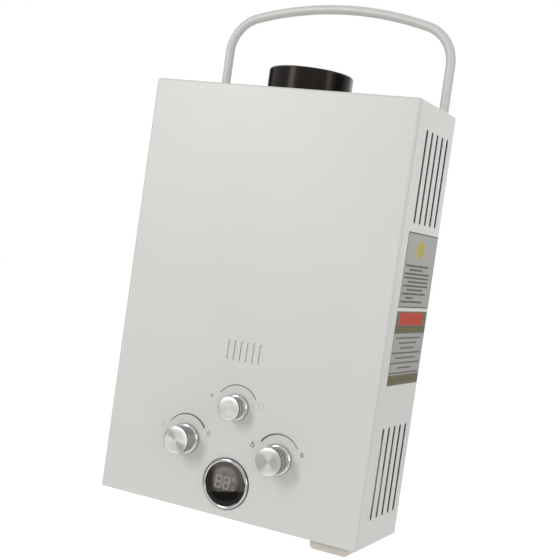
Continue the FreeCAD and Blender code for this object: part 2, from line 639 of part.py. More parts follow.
def draw_handle_path(path, arch_centre):
    """Two upright legs, two corner arcs and the shallow arch between them."""
    half, corner, arch = size("handle_half"), size("handle_corner"), size("handle_arch")
    centre = size("handle_top") - arch
    corner_x = half - corner
    corner_z = centre + math.sqrt((arch - corner) ** 2 - corner_x ** 2)
    tilt = math.atan2(corner_z - centre, corner_x)
    foot = size("pivot_height")
    up = FreeCAD.Vector(0, 0, 1)
    left = Part.Circle(FreeCAD.Vector(-corner_x, corner_z, 0), up, corner)
    right = Part.Circle(FreeCAD.Vector(corner_x, corner_z, 0), up, corner)
    top = Part.Circle(FreeCAD.Vector(0, centre, 0), up, arch)
    path.addGeometry(Part.LineSegment(FreeCAD.Vector(-half, foot, 0), FreeCAD.Vector(-half, corner_z, 0)),
                     False)
    path.addGeometry(Part.ArcOfCircle(left, math.pi - tilt, math.pi), False)
    path.addGeometry(Part.ArcOfCircle(top, tilt, math.pi - tilt), False)
    path.addGeometry(Part.ArcOfCircle(right, 0, tilt), False)
    path.addGeometry(Part.LineSegment(FreeCAD.Vector(half, corner_z, 0), FreeCAD.Vector(half, foot, 0)),
                     False)
    for first, end, second, start in ((0, 2, 1, 2), (1, 1, 2, 2), (2, 1, 3, 2), (3, 1, 4, 1)):
        path.addConstraint(Sketcher.Constraint("Tangent", first, end, second, start))
    fix(path, "DistanceX", 2, 3, "0")
    fix(path, "DistanceY", 2, 3, arch_centre, centre)
    set_radius(path, 2, "handle_arch", arch)
    for arc in (1, 3):
        set_radius(path, arc, "handle_corner", corner)
    for line, end, side, start in ((0, 1, "-", -half), (4, 2, "", half)):
        fix(path, "DistanceX", line, end, f"{side}handle_half", start)
        fix(path, "DistanceY", line, end, "pivot_height", foot)
        path.addConstraint(Sketcher.Constraint("Vertical", line))


def hollow_box(width, front, back, foot, head, wall):
    """Square duct open at the top and bottom."""
    outside = middle_box(width, (front, back), (foot, head))
    inside = middle_box(f"{width} - 2 * {wall}", (f"{front} + {wall}", f"{back} - {wall}"),
                        (f"{foot} - 1", f"{head} + 1"))
    return outside, inside


def electrode_places():
    """Igniter and flame rod, side by side at two heights: x and z."""
    yield "electrode_right", "electrode_low"
    yield "(electrode_right - electrode_pitch)", "(electrode_low + electrode_step)"


def build_exchanger():
    """Copper combustion chamber with its finned water tubes, the hood over it and the flue collar."""
    outside, inside = hollow_box("shell_width", "shell_front", SHELL_BACK, "shell_foot", "shell_head",
                                 "shell_sheet")
    tube_holes = [rod(f"-(shell_width / 2 + {BEYOND})", f"tube_front + {row} * tube_pitch",
                      "tube_height", "tube_radius + hole_gap", f"shell_width + {2 * BEYOND}", "+X")
                      for row in range(3)]
    rod_holes = [rod(x, "shell_front - 1", z, "electrode_radius + hole_gap", "shell_sheet + 2", "+Y")
                 for x, z in electrode_places()]
    piece("exchanger_shell", cut(outside, inside, *tube_holes, *rod_holes))

    fins = []
    for number in range(int(size("fin_count"))):
        left = f"(({number} - (fin_count - 1) / 2) * fin_pitch - fin_thickness / 2)"
        fins.append(box((left, f"{left} + fin_thickness"),
                        ("shell_front + shell_sheet", f"{SHELL_BACK} - shell_sheet"),
                        ("fin_foot", "shell_head - fin_margin")))
    piece("exchanger_fins", cut(group(fins), *[
        rod("-shell_width / 2", f"tube_front + {row} * tube_pitch", "tube_height",
            "tube_radius + running_fit", "shell_width", "+X") for row in range(3)]))

    end = size("shell_width") / 2 + size("tube_reach")
    bend = size("tube_pitch") / 2
    front, height = size("tube_front"), size("tube_height")
    middle = front + size("tube_pitch")
    rear = middle + size("tube_pitch")
    turn = end + bend
    route = [(end, front, height), (-turn, front, height), (-turn, middle, height), (turn, middle, height),
             (turn, rear, height), (-end, rear, height)]
    piece("exchanger_tubes", pipe(route, bend - NEARLY, size("tube_radius"), size("tube_wall")))

    half, shoulder = "(shell_width / 2)", "(shell_head + hood_straight)"
    top_half = "(hood_top_width / 2)"
    skin = [(f"-{half}", "shell_head"), (half, "shell_head"), (half, shoulder), (top_half, "hood_top"),
            (f"-{top_half}", "hood_top"), (f"-{half}", shoulder)]
    inner = f"({half} - shell_sheet)"
    inner_top, roof = f"({top_half} - shell_sheet)", "(hood_top - shell_sheet)"
    hollow = [(f"-{inner}", "shell_head - 1"), (inner, "shell_head - 1"),
              (inner, f"{shoulder} - shell_sheet / 2"),
              (inner_top, roof), (f"-{inner_top}", roof), (f"-{inner}", f"{shoulder} - shell_sheet / 2")]
    hood = cut(extruded("XZ_Plane", skin, "shell_front", "shell_depth"),
               extruded("XZ_Plane", hollow, "shell_front + shell_sheet", "shell_depth - 2 * shell_sheet"),
               rod("0", "flue_centre", "hood_top - 2 * shell_sheet", "hood_hole", "4 * shell_sheet"))
    piece("draught_hood", hood)

    reach = "(case_height + flue_rise - hood_top)"
    collar = [("flue_bore", "0"), ("flue_radius", "0"), ("flue_radius", f"{reach} - flue_roll"),
              ("flue_radius - flue_roll", reach), ("flue_bore + flue_roll / 2", reach),
              ("flue_bore", f"{reach} - flue_roll / 2")]
    piece("flue_collar", turned(collar, "0", "flue_centre", "hood_top"))


def build_burner():
    """Frame, bars, manifold, jets and the two electrodes."""
    outside, inside = hollow_box("shell_width", "shell_front", SHELL_BACK, "burner_foot", "shell_foot",
                                 "burner_sheet")
    rails = [middle_box("shell_width - burner_sheet", (start, f"{start} + rail_width"),
                        ("burner_foot", BAR_FOOT))
             for start in ("(shell_front + rail_inset)", f"({SHELL_BACK} - rail_inset - rail_width)")]
    tabs = [ordered_box(side, ("shell_width / 2 - 2 * lug_width", "shell_width / 2 - lug_width"),
                        (f"{SHELL_BACK} - burner_sheet / 2", "case_depth"),
                        ("burner_foot", "burner_foot + lug_width"))
            for side in ("-", "")]
    jets_through = [rod(x, "shell_front - 1", "jet_height", "jet_hole", "burner_sheet + 2", "+Y")
                    for x in bar_places()]
    piece("burner_frame", cut(joined(cut(outside, inside), *rails, *tabs), *jets_through))

    front = "(shell_front + bar_inset)"
    back = f"({SHELL_BACK} - bar_inset)"
    bars = [box((f"{x} - bar_width / 2", f"{x} + bar_width / 2"), (front, back),
                (BAR_FOOT, f"{BAR_FOOT} + bar_height"))
            for x in bar_places()]
    mouths = [box((f"{x} - bar_width / 2 + 1", f"{x} + bar_width / 2 - 1"),
                  (f"{front} - 1", f"{front} + mouth_depth"),
                  ("jet_height - mouth_height / 2", "jet_height + mouth_height / 2")) for x in bar_places()]
    slits = []
    for number in range(int(size("bar_slit_count"))):
        start = f"({front} + bar_slit_pitch * {number + 1})"
        slits.append(middle_box("bar_pitch * bar_count", (start, f"{start} + bar_slit"),
                                (f"{BAR_FOOT} + bar_height - bar_slit_depth",
                                 f"{BAR_FOOT} + bar_height + 1")))
    piece("burner_bars", cut(group(bars), *mouths, *slits))

    tube = middle_box("manifold_length", ("manifold_front", MANIFOLD_BACK),
                      ("manifold_foot", "manifold_foot + manifold_height"))
    bore = middle_box("manifold_length - 2 * manifold_wall",
                      ("manifold_front + manifold_wall", f"{MANIFOLD_BACK} - manifold_wall"),
                      ("manifold_foot + manifold_wall", "manifold_foot + manifold_height - manifold_wall"))
    stub_place = ("0", "manifold_front + manifold_depth / 2", "season_head")
    stub = rod(*stub_place, "manifold_depth / 2", "manifold_foot + manifold_wall - season_head")
    stub_bore = rod(*stub_place, "manifold_depth / 2 - manifold_wall",
                    "manifold_foot + 2 * manifold_wall - season_head")
    jet_seats = [rod(x, f"{MANIFOLD_BACK} - 2 * manifold_wall", "jet_height", "jet_radius / 2",
                     "3 * manifold_wall", "+Y")
                 for x in bar_places()]
    piece("gas_manifold", cut(joined(tube, stub), bore, stub_bore, *jet_seats))
    jets = [cut(joined(rod(x, MANIFOLD_BACK, "jet_height", "jet_radius", "jet_length", "+Y"),
                       rod(x, f"{MANIFOLD_BACK} - manifold_wall", "jet_height",
                           "jet_radius / 2 - running_fit",
                           "2 * manifold_wall", "+Y")),
                rod(x, f"{MANIFOLD_BACK} - 2 * manifold_wall", "jet_height", "jet_bore",
                    "jet_length + 4 * manifold_wall", "+Y"))
            for x in bar_places()]
    piece("gas_jets", group(jets))

    rods = []
    for x, z in electrode_places():
        front_end = "(manifold_front - electrode_boot)"
        boot = "(shell_front - manifold_front + electrode_boot)"
        profile = [("0", "0"), ("electrode_boot", "0"), ("electrode_boot", f"{boot} / 2"),
                   ("electrode_radius", f"{boot} / 2"), ("electrode_radius", f"{boot} - 2 * shell_sheet"),
                   ("electrode_flange", f"{boot} - 2 * shell_sheet"), ("electrode_flange", boot),
                   ("electrode_radius", boot), ("electrode_radius", f"{boot} + electrode_neck"),
                   ("electrode_tip", f"{boot} + electrode_neck"),
                   ("electrode_tip", f"{boot} + 2 * electrode_neck"),
                   ("0", f"{boot} + 2 * electrode_neck")]
        rods.append(turned(profile, x, front_end, z, "+Y"))
    piece("burner_electrodes", group(rods))


def bar_places():
    for number in range(int(size("bar_count"))):
        yield f"(({number} - (bar_count - 1) / 2) * bar_pitch)"


def knob(name, x, z, radius, length, depth):
    """One control: ridged skirt, aluminium face and the spindle that they drive."""
    skirt_foot = "(bezel_height + knob_groove)"
    skirt_head = f"({length} - face_height)"
    bore = "(spindle_radius + running_fit)"
    skirt = turned([(bore, skirt_foot), (f"{radius} - skirt_step", skirt_foot),
                    (f"{radius} - skirt_step", skirt_head), (bore, skirt_head)], x, "0", z, "-Y")
    ribs = new_sketch(skirt, "XY_Plane", "Rib")
    ribs.addGeometry(Part.Circle(FreeCAD.Vector(START_RADIUS, 0, 0), FreeCAD.Vector(0, 0, 1), 1), False)
    fix(ribs, "DistanceX", 0, 3, f"{radius} - skirt_step")
    fix(ribs, "DistanceY", 0, 3, "0")
    set_radius(ribs, 0, "rib_radius")
    doc.recompute()
    groove = skirt.newObject("PartDesign::Pocket", "Groove")
    groove.Profile = ribs
    groove.Type = "ThroughAll"
    groove.Midplane = True
    around = skirt.newObject("PartDesign::PolarPattern", "Around")
    around.Originals = [groove]
    around.Axis = (ribs, ["N_Axis"])
    around.Angle = 360
    bind(around, "Occurrences", "rib_count")
    skirt.Tip = around
    piece(f"{name}_knob", skirt)

    face = turned([("0", skirt_head), (radius, skirt_head), (radius, f"{length} - face_chamfer"),
                   (f"{radius} - face_chamfer", length), ("0", length)], x, "0", z, "-Y")
    piece(f"{name}_knob_face", face)
    spindle = rod(x, depth, z, "spindle_radius", f"{skirt_head} - running_fit + {depth}", "-Y")
    flat = box((f"{x} - spindle_radius", f"{x} + spindle_radius"),
               (f"-{skirt_head} - 1", f"-{skirt_foot}"),
               (f"{z} + spindle_radius - spindle_flat", f"{z} + 2 * spindle_radius"))
    piece(f"{name}_spindle", cut(spindle, flat))


def knob_list():
    """Name, x, z, radius, length and how deep the spindle reaches."""
    deep = f"({VALVE_FRONT} + bore_depth - body_gap)"
    yield "gas", "(-side_knob_spread)", "side_knob_height", "knob_radius", "knob_length", deep
    yield "water", "side_knob_spread", "side_knob_height", "knob_radius", "knob_length", deep
    shallow = "(season_front + bore_depth - body_gap)"
    yield "season", "0", "season_height", "season_radius", "season_length", shallow


def build_controls():
    """Three knobs with their fixed chrome rings, and the round display."""
    rings = []
    for name, x, z, radius, length, depth in knob_list():
        knob(name, x, z, radius, length, depth)
        rim = f"({radius} + bezel_flare)"
        crown = f"({rim} - bezel_round)"
        rings.append(turned([("spindle_hole", "0"), (rim, "0"), (rim, "bezel_height - bezel_round"),
                             (f"{crown} + 0.7 * bezel_round", "bezel_height - 0.3 * bezel_round"),
                             (crown, "bezel_height"), ("spindle_hole", "bezel_height")], x, "0", z, "-Y"))
    piece("knob_bezels", group(rings))

    lens_floor = "(display_rise - lens_height - 2 * body_gap)"
    profile = [("display_sleeve", "-display_reach"), ("display_hole - hole_gap", "-display_reach"),
               ("display_hole - hole_gap", "0"), ("display_radius", "0"),
               ("display_radius", "display_rise / 2"), ("display_radius - display_rise / 2", "display_rise"),
               ("lens_radius + hole_gap", "display_rise - body_gap"), ("lens_radius + hole_gap", lens_floor),
               ("display_sleeve", lens_floor)]
    piece("display_bezel", turned(profile, "0", "0", "display_height", "-Y"))
    piece("display_lens", rod("0", f"-{lens_floor}", "display_height", "lens_radius", "lens_height", "-Y"))
    snout = rod("0", f"-{lens_floor} + body_gap", "display_height", "display_sleeve - hole_gap",
                f"display_reach + {lens_floor}", "+Y")
    housing = middle_box("module_width", ("display_reach", "display_reach + module_depth"),
                         ("display_height - module_height / 2", "display_height + module_height / 2"))
    piece("display_module", joined(snout, housing))


def build_gas_valve():
    """Gas side of the linked valve: body, solenoid, riser and the season valve over it."""
    block = box(("-gas_valve_left", "-gas_valve_right"), (VALVE_FRONT, VALVE_BACK),
                ("valve_foot", "valve_head"))
    spindle_bore = rod("-side_knob_spread", f"{VALVE_FRONT} - 1", "side_knob_height",
                       "spindle_radius + running_fit", "bore_depth + 1", "+Y")
    rod_bore = rod("-gas_valve_right + 1", "valve_axis", "side_knob_height", "rod_radius + running_fit",
                   "rod_tip - gas_valve_right + rod_stroke + 2", "-X")
    plunger_bore = rod("-gas_valve_left - 1", "valve_axis", "side_knob_height", "plunger_radius + body_gap",
                       "plunger_inside + 2", "+X")
    inlet = rod("-side_knob_spread", "connector_depth", "valve_foot - 1", "connector_bore", "bore_depth / 2")
    outlet = rod("-riser_left", "valve_axis", "valve_head - bore_depth / 2", "riser_radius - riser_wall",
                 "bore_depth")
    piece("gas_valve_body", cut(block, spindle_bore, rod_bore, plunger_bore, inlet, outlet))

    can = rod("-gas_valve_left", "valve_axis", "side_knob_height", "solenoid_radius", "solenoid_length", "-X")
    can_bore = rod("-gas_valve_left + 1", "valve_axis", "side_knob_height", "plunger_radius + running_fit",
                   "plunger_length - plunger_inside + plunger_stroke + 2", "-X")
    piece("gas_solenoid", cut(can, can_bore))
    piece("solenoid_plunger", rod("-gas_valve_left + plunger_inside", "valve_axis", "side_knob_height",
                                  "plunger_radius", "plunger_length", "-X"))

    block = middle_box("season_width", ("season_front", "season_front + season_depth"),
                       ("season_foot", "season_head"))
    bore = rod("0", "season_front - 1", "season_height", "spindle_radius + running_fit", "bore_depth + 1",
               "+Y")
    gas_in = rod("-season_width / 2 - 1", "season_front + season_depth / 2", "season_height",
                 "riser_radius - riser_wall", "season_width / 4", "+X")
    gas_out = rod("0", "manifold_front + manifold_depth / 2", "season_head - season_tall / 4",
                  "manifold_depth / 2 - manifold_wall", "season_tall")
    piece("season_valve_body", cut(block, bore, gas_in, gas_out))

    left, axis, height = -size("riser_left"), size("valve_axis"), size("season_height")
    valve_head = size("valve_head")
    inlet_depth = size("season_front") + size("season_depth") / 2
    route = [(left, axis, valve_head), (left, axis, height), (left, inlet_depth, height),
             (-size("season_width") / 2, inlet_depth, height)]
    piece("gas_riser", pipe(route, size("riser_bend"), size("riser_radius"), size("riser_wall")))


def build_water_valve():
    """Water side: body, cover, diaphragm, push rod, spring and the flow switch that the rod works."""
    block = box((DIAPHRAGM_RIGHT, "water_valve_right"), (VALVE_FRONT, VALVE_BACK),
                ("valve_foot", "valve_head"))
    disc = rod(DIAPHRAGM_RIGHT, "valve_axis", "side_knob_height", "disc_radius", "flange_width", "+X")
    chamber = rod(f"{DIAPHRAGM_RIGHT} - 1", "valve_axis", "side_knob_height", "disc_inner",
                  "chamber_depth + 1", "+X")
    spindle_bore = rod("side_knob_spread", f"{VALVE_FRONT} - 1", "side_knob_height",
                       "spindle_radius + running_fit", "bore_depth + 1", "+Y")
    inlet = rod("cold_inlet_right", "connector_depth", "valve_foot - 1", "connector_bore", "bore_depth / 2")
    outlet = rod("outlet_right", "valve_axis", "valve_head - bore_depth / 2", "pipe_radius - tube_wall",
                 "bore_depth")
    boss = rod("drain_right", "valve_axis", "drain_foot", "drain_boss", "valve_foot + 1 - drain_foot")
    boss_bore = rod("drain_right", "valve_axis", "drain_foot - 1", "drain_bore", "valve_foot - drain_foot")
    piece("water_valve_body", cut(joined(block, disc, boss), chamber, spindle_bore, inlet, outlet, boss_bore))

    cover = rod("cover_left", "valve_axis", "side_knob_height", "disc_radius", "cover_right - cover_left",
                "+X")
    hollow = rod("cover_left + cover_wall", "valve_axis", "side_knob_height", "disc_inner", "cover_right",
                 "+X")
    guide = rod("cover_left - 1", "valve_axis", "side_knob_height", "rod_radius + running_fit",
                "cover_right", "+X")
    piece("water_valve_cover", cut(cover, hollow, guide))
    piece("diaphragm", rod("cover_right", "valve_axis", "side_knob_height", "diaphragm_radius",
                           "diaphragm_sheet", "+X"))

    plate_left = "(cover_right - body_gap - plate_sheet)"
    stem = rod("-rod_tip", "valve_axis", "side_knob_height", "rod_radius", f"{plate_left} + rod_tip", "+X")
    plate = rod(plate_left, "valve_axis", "side_knob_height", "plate_radius", "plate_sheet", "+X")
    collar = rod("-collar_left", "valve_axis", "side_knob_height", "collar_radius", "collar_width", "+X")
    piece("push_rod", joined(stem, plate, collar))

    room = size("gas_valve_right") - size("collar_left") - 2 * (size("body_gap") + size("spring_wire"))
    coil = Part.makeHelix(room / size("spring_turns"), room, size("spring_radius"))
    start = FreeCAD.Vector(size("spring_radius"), 0, 0)
    circle = Part.Wire([Part.makeCircle(size("spring_wire"), start, FreeCAD.Vector(0, 1, 0))])
    spring = Part.Wire(coil.Edges).makePipeShell([circle], True, True)
    spring_start = "-gas_valve_right + body_gap + spring_wire"
    piece("valve_spring", shaped(spring, spring_start, "valve_axis", "side_knob_height", "+X"))

    depth_low, depth_high = "(valve_axis - switch_depth / 2)", "(valve_axis + switch_depth / 2)"
    case = box(("-switch_left", "-switch_right"), (depth_low, depth_high),
               ("switch_foot", "switch_foot + switch_height"))
    tab = box(("-switch_left - switch_tab", "-switch_left"), (depth_low, depth_high),
              ("valve_head", "valve_head + switch_tab_sheet"))
    lever_middle = "(-collar_left - body_gap - lever_sheet / 2)"
    ears = []
    for side in ("-", "+"):
        inner = f"valve_axis {side} (lever_width / 2 + body_gap)"
        outer = f"valve_axis {side} (lever_width / 2 + body_gap + ear_sheet)"
        deep = (outer, inner) if side == "-" else (inner, outer)
        ears.append(box((f"{lever_middle} - 2 * lever_pin", f"{lever_middle} + 2 * lever_pin"), deep,
                        ("switch_foot - ear_drop", "switch_foot")))
    pin_length = "(lever_width + 2 * body_gap + 2 * ear_sheet)"
    pin_start = f"valve_axis - {pin_length} / 2"
    pin_hole = rod(lever_middle, f"{pin_start} - 1", "lever_pivot", "lever_pin + running_fit",
                   f"{pin_length} + 2", "+Y")
    piece("microswitch", cut(joined(case, tab, *ears), pin_hole))
    strip = box((f"{lever_middle} - lever_sheet / 2", f"{lever_middle} + lever_sheet / 2"),
                ("valve_axis - lever_width / 2", "valve_axis + lever_width / 2"),
                ("side_knob_height + collar_radius - 2 * lever_pin", "lever_pivot"))
    pin = rod(lever_middle, pin_start, "lever_pivot", "lever_pin", pin_length, "+Y")
    piece("microswitch_lever", joined(strip, pin))


def connector(x, y, head):
    """Threaded stub below the base plate, with a flange above and a smooth body up to its valve."""
    profile = [("connector_bore", "-connector_drop"), ("thread_radius", "-connector_drop"),
               ("thread_radius", "-shoulder_drop"), ("shoulder_radius", "-shoulder_drop"),
               ("shoulder_radius", BASE_TOP), ("connector_flange", BASE_TOP),
               ("connector_flange", f"{BASE_TOP} + connector_flange_height"),
               ("connector_body", f"{BASE_TOP} + connector_flange_height"), ("connector_body", head),
               ("connector_bore", head)]
    return turned(profile, x, y, "0")


def build_water_and_gas_ways():
    """Three connectors under the case, the pipes inside it, the filter, the drain and the sensors."""
    rear_tube = "(tube_front + 2 * tube_pitch)"
    piece("gas_inlet", connector("-side_knob_spread", "connector_depth", "valve_foot"))
    piece("cold_inlet", connector("cold_inlet_right", "connector_depth", "valve_foot"))
    piece("hot_outlet", connector("-hot_pipe_side", rear_tube, "hot_outlet_head"))
    inner = "(filter_radius - filter_wall)"
    rim = "(connector_bore - running_fit)"
    sieve = [(inner, "0"), (rim, "0"), (rim, "filter_flange"), ("filter_radius", "filter_flange"),
             ("filter_radius", "filter_length"), ("0", "filter_length"), ("0", "filter_length - filter_wall"),
             (inner, "filter_length - filter_wall")]
    piece("inlet_filter", turned(sieve, "cold_inlet_right", "connector_depth",
                                 "-connector_drop + filter_flange"))

    groove_low = "(drain_foot + seal_height - seal_radius)"
    groove_high = "(drain_foot + seal_height + seal_radius)"
    stem = "(drain_bore - running_fit)"
    root = "(drain_bore - 1.6 * seal_radius)"
    plug = [("0", "-drain_drop"), ("drain_head", "-drain_drop"), ("drain_head", "-body_gap"),
            (stem, "-body_gap"),
            (stem, groove_low), (root, groove_low), (root, groove_high), (stem, groove_high),
            (stem, "drain_foot + drain_stem"), ("0", "drain_foot + drain_stem")]
    piece("drain_plug", turned(plug, "drain_right", "valve_axis", "0"))
    piece("drain_seal", ring("drain_right", "valve_axis", "drain_foot + seal_height",
                             "drain_bore - 0.8 * seal_radius", "0.75 * seal_radius"))

    across, front = size("outlet_right"), size("tube_front")
    valve_head = size("valve_head")
    turn_height = valve_head + 2 * size("pipe_bend")
    side, height = size("cold_pipe_side"), size("tube_height")
    tube_end = size("shell_width") / 2 + size("tube_reach")
    cold = [(across, size("valve_axis"), valve_head), (across, size("valve_axis"), turn_height),
            (side, front, turn_height), (side, front, height), (tube_end, front, height)]
    piece("cold_pipe", pipe(cold, size("pipe_bend"), size("pipe_radius"), size("tube_wall")))
    rear = front + 2 * size("tube_pitch")
    side = size("hot_pipe_side")
    hot = [(-tube_end, rear, height), (-side, rear, height), (-side, rear, size("hot_outlet_head"))]
    piece("hot_pipe", pipe(hot, size("pipe_bend"), size("pipe_radius"), size("tube_wall")))
    nuts = []
    for x, y, z in (("outlet_right", "valve_axis", "valve_head"),
                    ("-hot_pipe_side", rear_tube, "hot_outlet_head")):
        nuts.append(cut(hexagon(x, y, z, "nut_radius", "nut_height"),
                        rod(x, y, f"{z} - 1", "pipe_radius + running_fit", "nut_height + 2")))
    piece("pipe_nuts", group(nuts))

    probe = rod("-hot_pipe_side + connector_body - 1", rear_tube, "sensor_height", "sensor_radius",
                "sensor_length", "+X")
    seat = rod("-hot_pipe_side", rear_tube, "sensor_height - sensor_radius - 1",
               "connector_body + running_fit",
               "2 * sensor_radius + 2")
    cutoff = rod("shell_width / 2", "valve_axis", "cutoff_centre", "cutoff_radius", "cutoff_height", "+X")
    piece("temperature_sensors", group([cut(probe, seat), cutoff]))


def build_power():
    """Battery box with its bottom lid and two cells, the igniter box and the leads."""
    left, right = "battery_left", "(battery_left + battery_width)"
    front, back = "battery_front", "(battery_front + battery_length)"
    outside = box((left, right), (front, back), ("-battery_foot", "battery_head"))
    rim = box((f"{left} - battery_rim", f"{right} + battery_rim"),
              (f"{front} - battery_rim", f"{back} + battery_rim"),
              (BASE_TOP, f"{BASE_TOP} + battery_wall"))
    inside = box((f"{left} + battery_wall", f"{right} - battery_wall"),
                 (f"{front} + battery_wall", f"{back} - battery_wall"),
                 ("-battery_foot - 1", "battery_head - battery_wall"))
    ears = []
    pin_holes = []
    for side in ("-", "+"):
        low = f"({BATTERY_MIDDLE} {side} hinge_span / 2 - hinge_ear / 2)"
        high = f"({low} + hinge_ear)"
        near, far = f"({HINGE_LINE} - hinge_knuckle)", f"({HINGE_LINE} + hinge_knuckle)"
        ears.append(rod(low, HINGE_LINE, "-hinge_drop", "hinge_knuckle", "hinge_ear", "+X"))
        ears.append(box((low, high), (near, far), ("-hinge_drop", "0")))
        ears.append(box((low, high), (f"{back} - battery_wall / 2", far),
                        ("-hinge_drop + hinge_knuckle", "0")))
        pin_holes.append(rod(f"{low} - 1", HINGE_LINE, "-hinge_drop", "hinge_pin + running_fit",
                             "hinge_ear + 2", "+X"))
    piece("battery_box", cut(joined(outside, rim, *ears), inside, *pin_holes))

    lid_top = "(-battery_foot - body_gap)"
    corners = [(left, "-battery_drop"), (right, "-battery_drop"), (right, lid_top), (left, lid_top)]
    tray = extruded("XZ_Plane", corners, front, "battery_length")
    foot = -size("battery_drop")
    round_edges(tray, "battery_corner",
                lambda bounds: bounds.YLength > BEYOND and bounds.ZMax < foot + NEARLY)
    hollow = box((f"{left} + battery_wall", f"{right} - battery_wall"),
                 (f"{front} + battery_wall", f"{back} - battery_wall"),
                 ("-battery_drop + battery_wall", "0"))
    span = "(hinge_span - hinge_ear - 2 * body_gap)"
    knuckle = rod(f"{BATTERY_MIDDLE} - {span} / 2", HINGE_LINE, "-hinge_drop", "hinge_knuckle", span, "+X")
    web = box((f"{BATTERY_MIDDLE} - {span} / 2", f"{BATTERY_MIDDLE} + {span} / 2"),
              (f"{back} - battery_wall / 2", HINGE_LINE), ("-hinge_drop - hinge_knuckle", "-hinge_drop"))
    pin = rod(f"{BATTERY_MIDDLE} - hinge_span / 2 - hinge_ear / 2", HINGE_LINE, "-hinge_drop", "hinge_pin",
              "hinge_span + hinge_ear", "+X")
    piece("battery_lid", joined(cut(tray, trim_corners(hollow)), knuckle, web, pin))

    cells = []
    cell_front = f"({front} + battery_wall + body_gap)"
    lowest = "(-battery_foot + cell_radius + body_gap)"
    for level in range(2):
        height = f"{lowest} + {level} * (2 * cell_radius + body_gap)"
        can = rod(BATTERY_MIDDLE, cell_front, height, "cell_radius", "cell_length", "+Y")
        button = rod(BATTERY_MIDDLE, cell_front, height, "cell_button", "cell_length + cell_button_rise",
                     "+Y")
        cells.append(joined(can, button))
    piece("batteries", group(cells))

    piece("igniter_box", box(("igniter_left", "igniter_left + igniter_width"),
                             ("igniter_front", "igniter_front + igniter_depth"),
                             (IGNITER_FOOT, IGNITER_HEAD)))
    piece("wiring_leads", group(build_leads()))


def trim_corners(hollow):
    """Lid hollow with its lower long edges drawn in, so that the rounded corners keep their wall."""
    left, right = "battery_left", "(battery_left + battery_width)"
    low = "(-battery_drop + battery_wall)"
    length, height = ("battery_front", HINGE_LINE), (low, "-battery_drop + battery_corner")
    shoulders = [box((left, f"{left} + battery_corner"), length, height),
                 box((f"{right} - battery_corner", right), length, height)]
    return cut(hollow, *shoulders)


def build_leads():
    """Two electrode leads up the right side and the display's lead, each clipped between its housings."""
    radius, bend = size("lead_radius"), size("lead_bend")
    box_head = size("battery_head") + size("body_gap") + size("igniter_height")
    boot_depth = size("manifold_front")
    leads = []
    for number in range(2):
        x = size("electrode_right") - number * size("electrode_pitch") + size("electrode_boot") + size("body_gap")
        z = size("electrode_low") + number * size("electrode_step")
        side = size("lead_right") + number * size("lead_pitch")
        rise = [(side, size("lead_depth"), box_head), (side, size("lead_depth"), z), (x, boot_depth, z)]
        leads.append(pipe(rise, bend, radius))
    module_right = size("module_width") / 2
    drop, across = size("display_lead_height"), size("display_lead_right")
    box_middle = size("battery_head") + size("body_gap") + size("igniter_height") / 2
    along = [(module_right, size("lead_depth"), drop), (across, size("lead_depth"), drop),
             (across, size("lead_depth"), box_middle), (size("igniter_left"), size("lead_depth"), box_middle)]
    leads.append(pipe(along, size("lead_bend") / 2, radius))
    return leads


def check_objects():
    """Stop before writing anything if an object has failed or a piece has no sound shape."""
    failed = [f"{item.Name} ({item.Label}): {dict(item.ExpressionEngine)}" for item in doc.Objects
              if "Invalid" in item.State or "Error" in item.State]
    if failed:
        raise RuntimeError("Objects failed: " + "; ".join(failed))
    for label, item in pieces.items():
        if item.Shape.isNull() or not item.Shape.isValid() or not item.Shape.Solids:
            raise RuntimeError(f"{label} has no sound shape")


build_case()
build_wall_fixing()
build_handle()
build_exchanger()
build_burner()
build_controls()
build_gas_valve()
build_water_valve()
build_water_and_gas_ways()
build_power()
doc.recompute()
check_objects()
os.makedirs("parts", exist_ok=True)
for label, item in pieces.items():
    item.Shape.exportStep(f"parts/{label}.step")
print(len(pieces), "pieces written")
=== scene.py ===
"""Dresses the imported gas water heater: finishes for every part, the fine pieces, and the studio round it."""
from __future__ import annotations

import json
import logging
import math
from dataclasses import dataclass, field
from enum import Enum
from typing import Callable, Sequence

import bmesh
import bpy
from mathutils import Matrix, Vector


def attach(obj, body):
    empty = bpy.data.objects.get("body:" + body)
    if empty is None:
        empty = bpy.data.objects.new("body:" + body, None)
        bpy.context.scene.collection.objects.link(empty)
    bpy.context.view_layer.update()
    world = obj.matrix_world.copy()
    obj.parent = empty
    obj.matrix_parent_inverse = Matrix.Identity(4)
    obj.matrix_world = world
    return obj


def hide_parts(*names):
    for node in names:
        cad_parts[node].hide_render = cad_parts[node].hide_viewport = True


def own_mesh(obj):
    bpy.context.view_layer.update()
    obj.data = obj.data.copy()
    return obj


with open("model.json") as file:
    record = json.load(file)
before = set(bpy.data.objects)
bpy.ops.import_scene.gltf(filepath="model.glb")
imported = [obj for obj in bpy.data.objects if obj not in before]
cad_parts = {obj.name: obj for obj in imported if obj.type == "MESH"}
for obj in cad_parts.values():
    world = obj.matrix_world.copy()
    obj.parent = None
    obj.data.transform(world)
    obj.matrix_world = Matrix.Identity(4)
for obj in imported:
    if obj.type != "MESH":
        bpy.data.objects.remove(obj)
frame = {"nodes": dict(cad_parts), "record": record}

log = logging.getLogger("heater")

MILLIMETRE = 0.001
WALL_PLANE = 122.0
SCREW_CENTRE = 215.0
DISPLAY_HEIGHT = 33.4
SHARP_ANGLE = math.radians(32)
PRINT = 0.004
MIDDLE = (0.3, 0.7)
WHITE = (0.655, 0.66, 0.63)
Socket = bpy.types.NodeSocket
Colour = Place = tuple[float, float, float]
Pair = tuple[float, float]
Span = tuple[float, float, float, float]
Profile = Sequence[Pair]
laid: dict[str, bpy.types.Material] = {}


